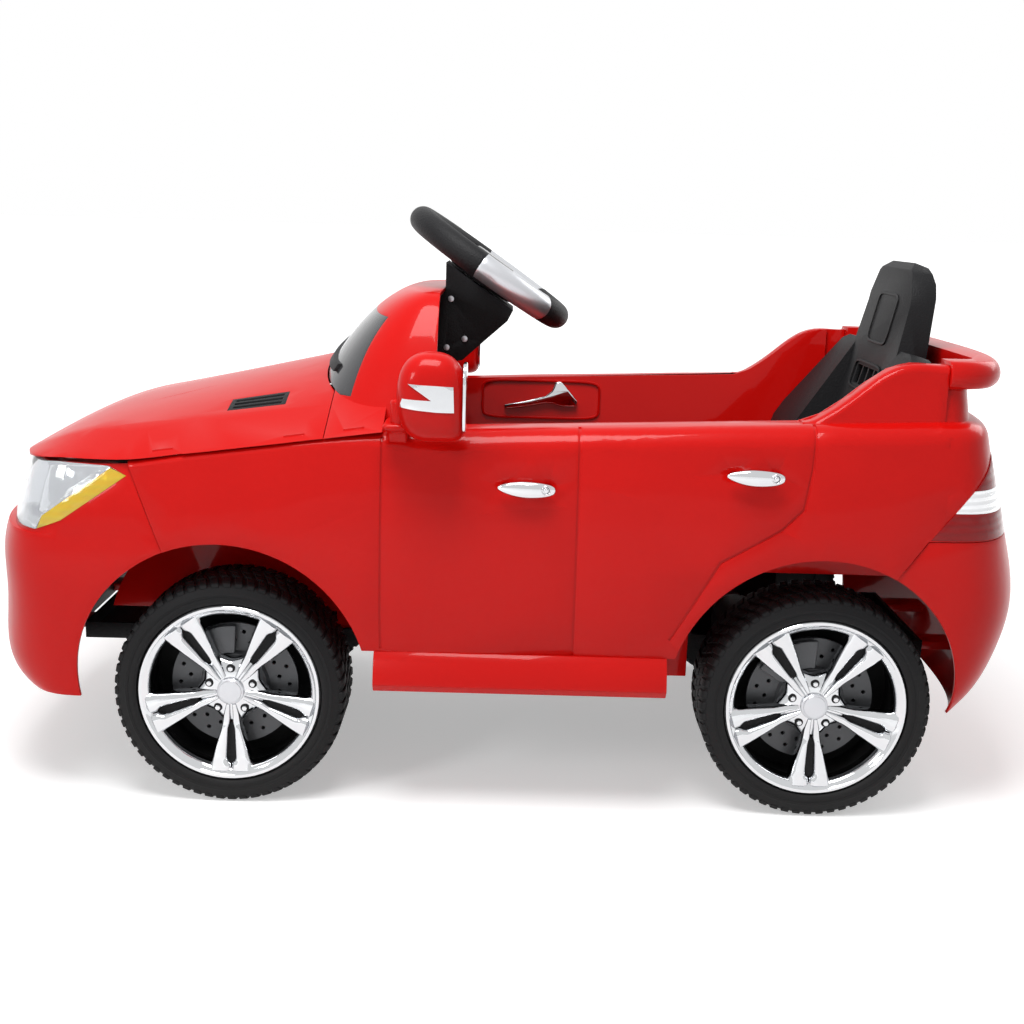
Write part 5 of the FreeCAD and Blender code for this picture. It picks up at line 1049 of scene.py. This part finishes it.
@dataclass
class Mirror(Fitting):
    """A door mirror: soft red housing, forked chrome blade and glass."""

    side: Side
    middle: Point = (-0.0770, 0.2865, 0.4365)
    front: float = 0.0330
    rear: float = 0.0325
    tall: float = 0.0425
    wide: float = 0.0270
    dome: float = 0.55
    swell: float = 0.85
    square_corner: float = 6.0
    round_corner: float = 2.5
    pivot: Point = (-0.1090, 0.2690, 0.3985)
    boss: float = 0.0088
    boss_tall: float = 0.032
    boss_edge: float = 0.003
    skin: float = 0.0012
    skin_lift: float = 0.0004
    blade_start: float = 0.330
    glass_share: float = 0.78
    glass_sunk: float = 0.003
    glass_thick: float = 0.0035
    glass_edge: float = 0.0012
    glass_corner: float = 0.5
    glass_steps: int = 32
    blade: Rows = (
        (-0.098, 0.451), (-0.088, 0.4505), (-0.072, 0.450), (-0.056, 0.449), (-0.0555, 0.437),
        (-0.055, 0.425), (-0.072, 0.4255), (-0.090, 0.427), (-0.106, 0.429), (-0.103, 0.437),
        (-0.090, 0.4365), (-0.076, 0.436), (-0.086, 0.443),
    )

    def housing(self) -> Piece:
        """Domes the housing from a ball with a flat rear face.

        Returns:
            The housing with its pivot boss, without its finish.
        """
        out = self.side.value
        bpy.ops.mesh.primitive_uv_sphere_add(segments=72, ring_count=48, radius=1.0)
        dome = bpy.context.object
        dome.name = "mirror_shell_" + self.side.word
        for vertex in dome.data.vertices:
            level = math.hypot(vertex.co.x, vertex.co.y)
            angle = math.atan2(vertex.co.y, vertex.co.x)
            behind = vertex.co.x > 0.0
            length = self.rear if behind else self.front
            power = self.square_corner if behind and vertex.co.y < 0.0 else self.round_corner
            size = (abs(math.cos(angle)) / length) ** power + (abs(math.sin(angle)) / self.tall) ** power
            reach = level ** self.dome * size ** (-1.0 / power)
            depth = math.copysign(abs(vertex.co.z) ** self.swell, vertex.co.z) * self.wide
            vertex.co = (self.middle[0] + reach * math.cos(angle), out * (self.middle[1] + depth),
                         self.middle[2] + reach * math.sin(angle))
        x, y, z = self.pivot
        bpy.ops.mesh.primitive_cylinder_add(vertices=40, radius=self.boss, depth=self.boss_tall,
                                            location=(x, out * y, z + self.boss_tall / 2.0))
        boss = self.bench.settled()
        self.bench.eased(boss, self.boss_edge, 40.0, 3)
        piece = self.bench.joined([dome, boss], dome.name)
        self.bench.turned_out(piece)
        self.bench.soft(piece, 50.0)
        return piece

    def chrome(self, shell: Piece) -> Piece:
        """Lays the forked blade on the housing's outer face.

        Args:
            shell: the soft housing.
        Returns:
            The blade.
        """
        start = self.side.value * self.blade_start
        points = [(x, start, z) for x, z in self.blade]
        piece = self.bench.outline("mirror_blade_" + self.side.word, points)
        self.bench.edit(piece)
        bpy.ops.mesh.quads_convert_to_tris()
        bpy.ops.mesh.subdivide(number_cuts=5)
        self.bench.done()
        left = self.side is Side.LEFT
        self.bench.modified(piece, "SHRINKWRAP", target=shell, wrap_method="PROJECT", use_project_x=False,
                            use_project_y=True, use_project_z=False, use_positive_direction=left,
                            use_negative_direction=not left, offset=self.skin_lift)
        self.bench.modified(piece, "SOLIDIFY", thickness=self.skin, offset=0.0)
        self.bench.turned_out(piece)
        self.bench.soft(piece, 50.0)
        return piece

    def glass(self) -> Piece:
        """Sets the glass in the rear face.

        Returns:
            The glass.
        """
        x = self.middle[0] + self.rear - self.glass_sunk
        points = []
        for index in range(self.glass_steps):
            across, rise = squared(math.tau * index / self.glass_steps, self.glass_corner)
            y = self.side.value * (self.middle[1] + across * self.wide * self.glass_share)
            points.append((x, y, self.middle[2] + rise * self.tall * self.glass_share))
        piece = self.bench.plate("mirror_glass_" + self.side.word, points, (self.glass_thick, 0.0, 0.0))
        self.bench.eased(piece, self.glass_edge, 30.0, 3)
        self.bench.soft(piece)
        return piece

    def build(self) -> None:
        """Builds and dresses one mirror."""
        word = self.side.word
        body = "mirror_" + word
        shell = self.housing()
        blade = self.chrome(shell)
        glass = self.glass()
        self.bench.dress(shell, "body_paint", body, ("mirror_housing_" + word,))
        self.bench.dress(blade, "chrome_trim", body, ("mirror_trim_" + word,))
        self.bench.dress(glass, "chrome_trim", body, (), "mirror_glass")


@dataclass
class DoorHandle(Fitting):
    """A plated pull with a key lock at its rear end, four times."""

    length: float = 0.057
    height: float = 0.017
    depth: float = 0.011
    taper: float = 0.42
    sag: float = 0.10
    fullness: float = 0.75
    lock: float = 0.0042
    lock_place: float = 0.33
    lock_wire: float = 0.0007
    lock_out: float = 0.44
    plug_share: float = 0.55
    plug_long: float = 0.004
    plug_out: float = 0.36
    plug_edge: float = 0.0004
    places: Rows = ((0.0155, 0.346), (0.2385, 0.3635))

    def pull(self) -> Piece:
        """Shapes one pull about the origin, facing minus y.

        Returns:
            The pull with its lock.
        """
        bpy.ops.mesh.primitive_uv_sphere_add(segments=40, ring_count=24, radius=1.0)
        body = bpy.context.object
        for vertex in body.data.vertices:
            x, y, z = vertex.co
            ahead = max(-x, 0.0)
            bow = 1.0 - self.taper * ahead * ahead
            lift = -self.sag * (1.0 - x * x)
            rise = math.copysign(abs(z) ** self.fullness, z)
            vertex.co = (x * self.length / 2.0, y * self.depth / 2.0 * bow,
                         (rise * bow + lift - self.sag * x) * self.height / 2.0)
        x = self.length * self.lock_place
        facing = (math.pi / 2.0, 0.0, 0.0)
        bpy.ops.mesh.primitive_torus_add(major_radius=self.lock, minor_radius=self.lock_wire,
                                         major_segments=28, minor_segments=8, rotation=facing,
                                         location=(x, -self.depth * self.lock_out, 0.0))
        ring = self.bench.settled()
        bpy.ops.mesh.primitive_cylinder_add(vertices=24, radius=self.lock * self.plug_share,
                                            depth=self.plug_long, rotation=facing,
                                            location=(x, -self.depth * self.plug_out, 0.0))
        plug = self.bench.settled()
        self.bench.eased(plug, self.plug_edge, 30.0)
        whole = self.bench.joined([body, ring, plug], "door_pull_model")
        self.bench.soft(whole, 45.0)
        return whole

    def build(self) -> None:
        """Sets the four pulls on the doors."""
        model = self.pull()
        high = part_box("door_handles")[1]
        pulls = []
        for side in Side:
            mirror = Matrix.Diagonal((1.0, -side.value, 1.0, 1.0))
            y = side.value * (high.y - self.depth / 2.0)
            for x, z in self.places:
                pulls.append(self.bench.copied(model, "door_pull", Matrix.Translation((x, y, z)) @ mirror))
        bpy.data.objects.remove(model)
        piece = self.bench.joined(pulls, "door_pulls")
        self.bench.turned_out(piece)
        self.bench.dress(piece, "chrome_trim", "car", ("door_handles",))


@dataclass
class InnerHandle(Fitting):
    """A plated lever on each inner door wall."""

    thick: float = 0.007
    rounding: float = 0.0016
    shape: Rows = (
        (-0.010, 0.3645), (0.018, 0.370), (0.044, 0.377), (0.052, 0.384), (0.057, 0.3955), (0.0635, 0.3965),
        (0.074, 0.385), (0.086, 0.371), (0.0835, 0.3645), (0.066, 0.364), (0.056, 0.367), (0.046, 0.3685),
        (0.018, 0.363), (-0.009, 0.359),
    )

    def build(self) -> None:
        """Models both levers."""
        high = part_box("inner_handles")[1]
        levers = []
        for side in Side:
            points = [(x, side.value * high.y, z) for x, z in self.shape]
            lever = self.bench.plate("inner_lever_" + side.word, points, (0.0, -side.value * self.thick, 0.0))
            self.bench.eased(lever, self.rounding, 25.0, 3)
            self.bench.soft(lever, 40.0)
            levers.append(lever)
        self.bench.dress(self.bench.joined(levers, "inner_levers"), "chrome_trim", "car", ("inner_handles",))


@dataclass
class AirPanel(Fitting):
    """The dark ribbed panel that closes the nose behind the grille."""

    half_width: float = 0.165
    thick: float = 0.003
    gap: float = 0.004
    floor_rise: float = 0.006
    shoulders: Rows = ((0.165, -0.060), (0.124, -0.036), (0.114, 0.0))
    ribs: int = 9
    rib_depth: float = 0.003
    rib_width: float = 0.004
    rib_drop: float = 0.052
    tray_reach: float = 0.0545
    tray_sweep: float = 0.0155
    tray_power: float = 2.5
    tray_steps: int = 15
    tray_fall: float = 0.018
    cheek_edge: Rows = ((-0.0273, -0.046), (-0.0214, -0.024), (-0.0127, 0.002))
    cheek_thick: float = 0.002
    rounding: float = 0.0008

    def build(self) -> None:
        """Models the panel, its ribs, its two cheeks and the tray under the lower intake as one piece."""
        low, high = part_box("grille_insert")
        back = high.x + self.gap
        base = low.z + self.floor_rise
        foot = base - self.tray_fall
        half = [(self.half_width, foot)] + [(y, high.z + z) for y, z in self.shoulders]
        outline = [(back, y, z) for y, z in half] + [(back, -y, z) for y, z in reversed(half)]
        pieces = [self.bench.plate("air_panel", outline, (self.thick, 0.0, 0.0))]
        top = high.z - self.rib_drop
        for index in range(self.ribs):
            y = self.shoulders[-1][0] * (2.0 * index / (self.ribs - 1) - 1.0)
            near, far = y - self.rib_width / 2.0, y + self.rib_width / 2.0
            points = [(back, near, low.z), (back, far, low.z), (back, far, top), (back, near, top)]
            pieces.append(self.bench.plate("air_panel_rib", points, (-self.rib_depth, 0.0, 0.0)))
        rim = []
        for index in range(self.tray_steps):
            across = 2.0 * index / (self.tray_steps - 1) - 1.0
            ahead = back - self.tray_reach + self.tray_sweep * abs(across) ** self.tray_power
            rim.append((ahead, across * self.half_width, base))
        rim += [(back, self.half_width, foot), (back, -self.half_width, foot)]
        pieces.append(self.bench.plate("air_panel_tray", rim, (0.0, 0.0, -self.thick)))
        for side in Side:
            y = side.value * (high.y + self.cheek_thick)
            edge = [(back + x, y, high.z + z) for x, z in self.cheek_edge]
            edge += [(back, y, edge[-1][2]), (back, y, edge[0][2])]
            step = (0.0, side.value * self.cheek_thick, 0.0)
            pieces.append(self.bench.plate("air_panel_cheek", edge, step))
        piece = self.bench.joined(pieces, "air_panel")
        self.bench.eased(piece, self.rounding)
        self.bench.soft(piece)
        self.bench.dress(piece, "dark_plastic", "car")


@dataclass
class Frames(Fitting):
    """Moulded rims: two on the seat back, one behind each inner lever."""

    rim: float = 0.0032
    rise: float = 0.0022
    corner: float = 0.30
    steps: int = 40
    back_lean: Pair = (0.030, 0.110)
    slot_place: Pair = (-0.0494, 0.179)
    slot_half: Pair = (0.053, 0.0175)
    floor_half: Pair = (0.048, 0.015)
    ribs: int = 3
    rib_pitch: float = 0.024
    rib_half: Pair = (0.0022, 0.0130)
    head_lean: Pair = (0.018, 0.080)
    head_place: Pair = (-0.0340, 0.247)
    head_half: Pair = (0.040, 0.030)
    slot_lift: float = 0.0005
    floor_sunk: float = 0.012
    floor_thick: float = 0.002
    rib_sunk: float = 0.010
    rib_tall: float = 0.009
    head_lift: float = 0.0002
    head_share: float = 0.7
    edge_share: float = 0.4
    lever_half: Pair = (0.078, 0.026)
    lever_gap: float = 0.0015
    lever_rise: float = 0.004

    def ring(self, middle: Vector, right: Vector, up: Vector, half: Pair) -> list[Point]:
        """A rounded rectangle.

        Args:
            middle: its middle.
            right: the unit direction of its width.
            up: the unit direction of its height.
            half: half its width and height.
        Returns:
            Its points in order.
        """
        points = []
        for index in range(self.steps):
            across, rise = squared(math.tau * (index + 0.5) / self.steps, self.corner)
            points.append(tuple(middle + right * (across * half[0]) + up * (rise * half[1])))
        return points

    def frame(self, name: str, points: list[Point], out: Vector) -> Piece:
        """A raised rim along a ring of points.

        Args:
            name: the rim's name.
            points: its outer edge.
            out: the way it stands out, in metres.
        Returns:
            The rim.
        """
        piece = self.bench.outline(name, points)
        self.bench.edit(piece)
        bpy.ops.mesh.inset(thickness=self.rim)
        bpy.ops.mesh.delete(type="FACE")
        self.bench.done()
        self.bench.raise_face(piece, tuple(out))
        self.bench.eased(piece, self.rise * self.edge_share, 40.0)
        self.bench.soft(piece, 40.0)
        return piece

    def leaning(self, lean: Pair) -> tuple[Vector, Vector]:
        """The unit directions up along and out of a face that leans back by so much x in so much z."""
        return Vector((lean[0], 0.0, lean[1])).normalized(), Vector((-lean[1], 0.0, lean[0])).normalized()

    def on_seat(self) -> None:
        """Sets the slot's rim with its ribs, and the panel line of the head rest."""
        low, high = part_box("seat")
        right = Vector((0.0, 1.0, 0.0))
        up, out = self.leaning(self.back_lean)
        slot = Vector((high.x + self.slot_place[0], 0.0, low.z + self.slot_place[1]))
        points = self.ring(slot + out * self.slot_lift, right, up, self.slot_half)
        rims = [self.frame("seat_slot_rim", points, out * self.rise)]
        points = self.ring(slot - out * self.floor_sunk, right, up, self.floor_half)
        rims.append(self.bench.plate("seat_slot_floor", points, tuple(out * self.floor_thick)))
        for index in range(self.ribs):
            middle = slot - out * self.rib_sunk + right * (self.rib_pitch * (index - (self.ribs - 1) / 2.0))
            points = self.ring(middle, right, up, self.rib_half)
            rims.append(self.bench.plate("seat_slot_rib", points, tuple(out * self.rib_tall)))
        up, out = self.leaning(self.head_lean)
        head = Vector((high.x + self.head_place[0], 0.0, low.z + self.head_place[1]))
        points = self.ring(head + out * self.head_lift, right, up, self.head_half)
        rims.append(self.frame("seat_head_rim", points, out * self.rise * self.head_share))
        self.bench.dress(self.bench.joined(rims, "seat_rims"), "dark_plastic", "car")

    def on_walls(self) -> None:
        """Sets a long shallow rim behind each inner lever."""
        low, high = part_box("inner_handles")
        along = Vector((1.0, 0.0, 0.0))
        up = Vector((0.0, 0.0, 1.0))
        rims = []
        for side in Side:
            y = side.value * (high.y + self.lever_gap)
            middle = Vector(((low.x + high.x) / 2.0, y, (low.z + high.z) / 2.0))
            points = self.ring(middle, along, up, self.lever_half)
            rims.append(self.frame("lever_rim", points, Vector((0.0, -side.value * self.lever_rise, 0.0))))
        self.bench.dress(self.bench.joined(rims, "lever_rims"), "body_paint", "car")

    def build(self) -> None:
        """Sets the rims on the seat and on the walls."""
        self.on_seat()
        self.on_walls()


@dataclass(frozen=True)
class Lamp:
    """A soft box: where it hangs, where it points, its side in metres and its watts."""

    name: str
    place: Point
    aim: Point
    size: float
    watts: float

    def hang(self) -> None:
        """Adds the lamp to the scene."""
        data = bpy.data.lights.new(self.name, "AREA")
        data.size = self.size
        data.energy = self.watts
        made = bpy.data.objects.new(self.name, data)
        made.location = self.place
        made.rotation_euler = (Vector(self.aim) - Vector(self.place)).to_track_quat("-Z", "Y").to_euler()
        bpy.context.scene.collection.objects.link(made)


@dataclass
class Studio:
    """The pale floor, the soft light and the camera at the photograph's viewpoint."""

    pitch: float = 12.45
    yaw: float = 0.31
    roll: float = -1.62
    pixels: float = 1339.0
    frame_pixels: float = 1024.0
    sensor: float = 36.0
    near_clip: float = 0.01
    stand: Point = (-0.005, -1.545, 0.605)
    fill: float = 0.34
    floor_size: float = 120.0
    floor_light: Colour = (0.86, 0.86, 0.86)
    floor_dark: Colour = (0.84, 0.84, 0.84)
    floor_specks: float = 30.0
    floor_rough: float = 0.8
    floor_shine: float = 0.1
    glow_start: float = 0.8
    glow_reach: float = 1.6
    glow_near: float = 0.40
    glow_more: float = 0.6
    lamps: tuple[Lamp, ...] = (
        Lamp("soft_box_top", (-0.2, -0.7, 1.9), (0.0, 0.0, 0.25), 0.9, 32.0),
        Lamp("soft_box_side", (-1.5, -1.7, 1.2), (0.0, 0.0, 0.3), 0.5, 12.0),
        Lamp("soft_box_rear", (1.9, 1.2, 1.4), (0.0, 0.0, 0.3), 1.2, 12.0),
    )

    def camera(self) -> None:
        """Adds the camera."""
        data = bpy.data.cameras.new("photo_camera")
        data.sensor_width = self.sensor
        data.lens = self.pixels / self.frame_pixels * self.sensor
        data.clip_start = self.near_clip
        pitch, yaw, roll = (math.radians(angle) for angle in (self.pitch, self.yaw, self.roll))
        ahead = Vector((math.sin(yaw) * math.cos(pitch), math.cos(yaw) * math.cos(pitch), -math.sin(pitch)))
        level = Vector((math.cos(yaw), -math.sin(yaw), 0.0))
        drop = ahead.cross(level)
        right = level * math.cos(roll) + drop * math.sin(roll)
        down = drop * math.cos(roll) - level * math.sin(roll)
        made = bpy.data.objects.new("photo_camera", data)
        columns = Matrix((right, -down, -ahead)).transposed()
        made.matrix_world = Matrix.Translation(self.stand) @ columns.to_4x4()
        bpy.context.scene.collection.objects.link(made)
        bpy.context.scene.camera = made

    def floor(self) -> None:
        """Adds a pale floor that keeps the car's shadow and goes white far off."""
        bpy.ops.mesh.primitive_plane_add(size=self.floor_size, location=(0.0, 0.0, 0.0))
        plane = bpy.context.object
        plane.name = "studio_floor"
        sheet = Sheet(bpy.data.materials.new("pale_floor"))
        place = sheet.place()
        speck = sheet.noise(place, self.floor_specks)
        sheet.set(Base_Color=sheet.mix(speck, self.floor_light, self.floor_dark), Roughness=self.floor_rough)
        sheet.set(Specular_IOR_Level=self.floor_shine)
        reach = sheet.node("ShaderNodeVectorMath", {"operation": "LENGTH"}, {0: place})
        far = ((Sock(sheet, reach.outputs["Value"]) - self.glow_start) / self.glow_reach).clamped()
        white = sheet.shown() * (far * self.glow_more + self.glow_near)
        glow = sheet.node("ShaderNodeEmission", None, {"Color": white})
        both = sheet.node("ShaderNodeAddShader", None, {
            0: Sock(sheet, sheet.shader.outputs[0]), 1: Sock(sheet, glow.outputs[0])})
        sheet.feed(sheet.tree.nodes["Material Output"].inputs["Surface"], Sock(sheet, both.outputs[0]))
        plane.data.materials.append(sheet.owner)
        LOG.info("studio floor")

    def world(self) -> None:
        """Sets a white surround that lights the car at a plain level."""
        world = bpy.data.worlds.new("studio_world")
        bpy.context.scene.world = world
        sheet = Sheet(world)
        sheet.set(Color=(1.0, 1.0, 1.0, 1.0), Strength=sheet.shown() * (1.0 - self.fill) + self.fill)

    def build(self) -> None:
        """Sets up the whole studio."""
        bpy.context.scene.view_settings.view_transform = "Standard"
        self.camera()
        self.floor()
        self.world()
        for lamp in self.lamps:
            lamp.hang()


PANELS: tuple[tuple[float, str], ...] = (
    (0.0010, "body_shell hood_panel front_bumper rear_bumper rear_spoiler running_boards"),
    (0.0010, "windscreen_cowl cockpit_tub"),
    (0.0008, "windscreen"),
    (0.0006, "wiper_trim"),
    (0.0004, "hood_vents"),
    (0.0006, "grille_insert"),
    (0.0015, "seat"),
    (0.0003, "dashboard"),
    (0.0015, "column_housing"),
    (0.0008, "steering_wheel"),
    (0.0006, "steering_trim horn_pad"),
    (0.0005, "fog_lamps"),
    (0.0003, "headlamp_reflectors headlamp_lenses turn_lenses"),
    (0.0004, "tail_lamp_lenses"),
    (0.0003, "tail_lamp_bands"),
    (0.0, "brake_disc_front_left brake_disc_front_right brake_disc_rear_left brake_disc_rear_right"),
    (0.0010, "chassis_tray gearbox_housing"),
    (0.0006, "drive_motor"),
    (0.0015, "battery"),
    (0.0010, "control_box foot_pedal"),
    (0.0008, "pedal_base"),
    (0.0006, "power_button direction_rocker"),
    (0.0002, "housing_screws"),
    (0.0004, "knuckle_left knuckle_right rear_axle"),
    (0.0003, "steering_shaft"),
    (0.0004, "tie_rod"),
)
PANEL_EXTRAS: dict[str, dict[str, object]] = {
    "tail_lamp_bands": {"finish": "silvered_lens"},
    "power_button": {"slack": 0.0003},
}


def main() -> None:
    """Builds the dressed car in order."""
    logging.basicConfig(level=logging.INFO, format="%(message)s")
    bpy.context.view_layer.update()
    bench = Bench(Finishes())
    fittings = [Panel(bench, node, rounding, **PANEL_EXTRAS.get(node, {}))
                for rounding, nodes in PANELS for node in nodes.split()]
    fittings += [Tyre(bench), WheelCover(bench), MirrorFeet(bench)]
    fittings += [Mirror(bench, side) for side in Side]
    fittings += [DoorHandle(bench), InnerHandle(bench), AirPanel(bench), Frames(bench), Studio()]
    for fitting in fittings:
        fitting.build()


if __name__ == "__main__":
    main()
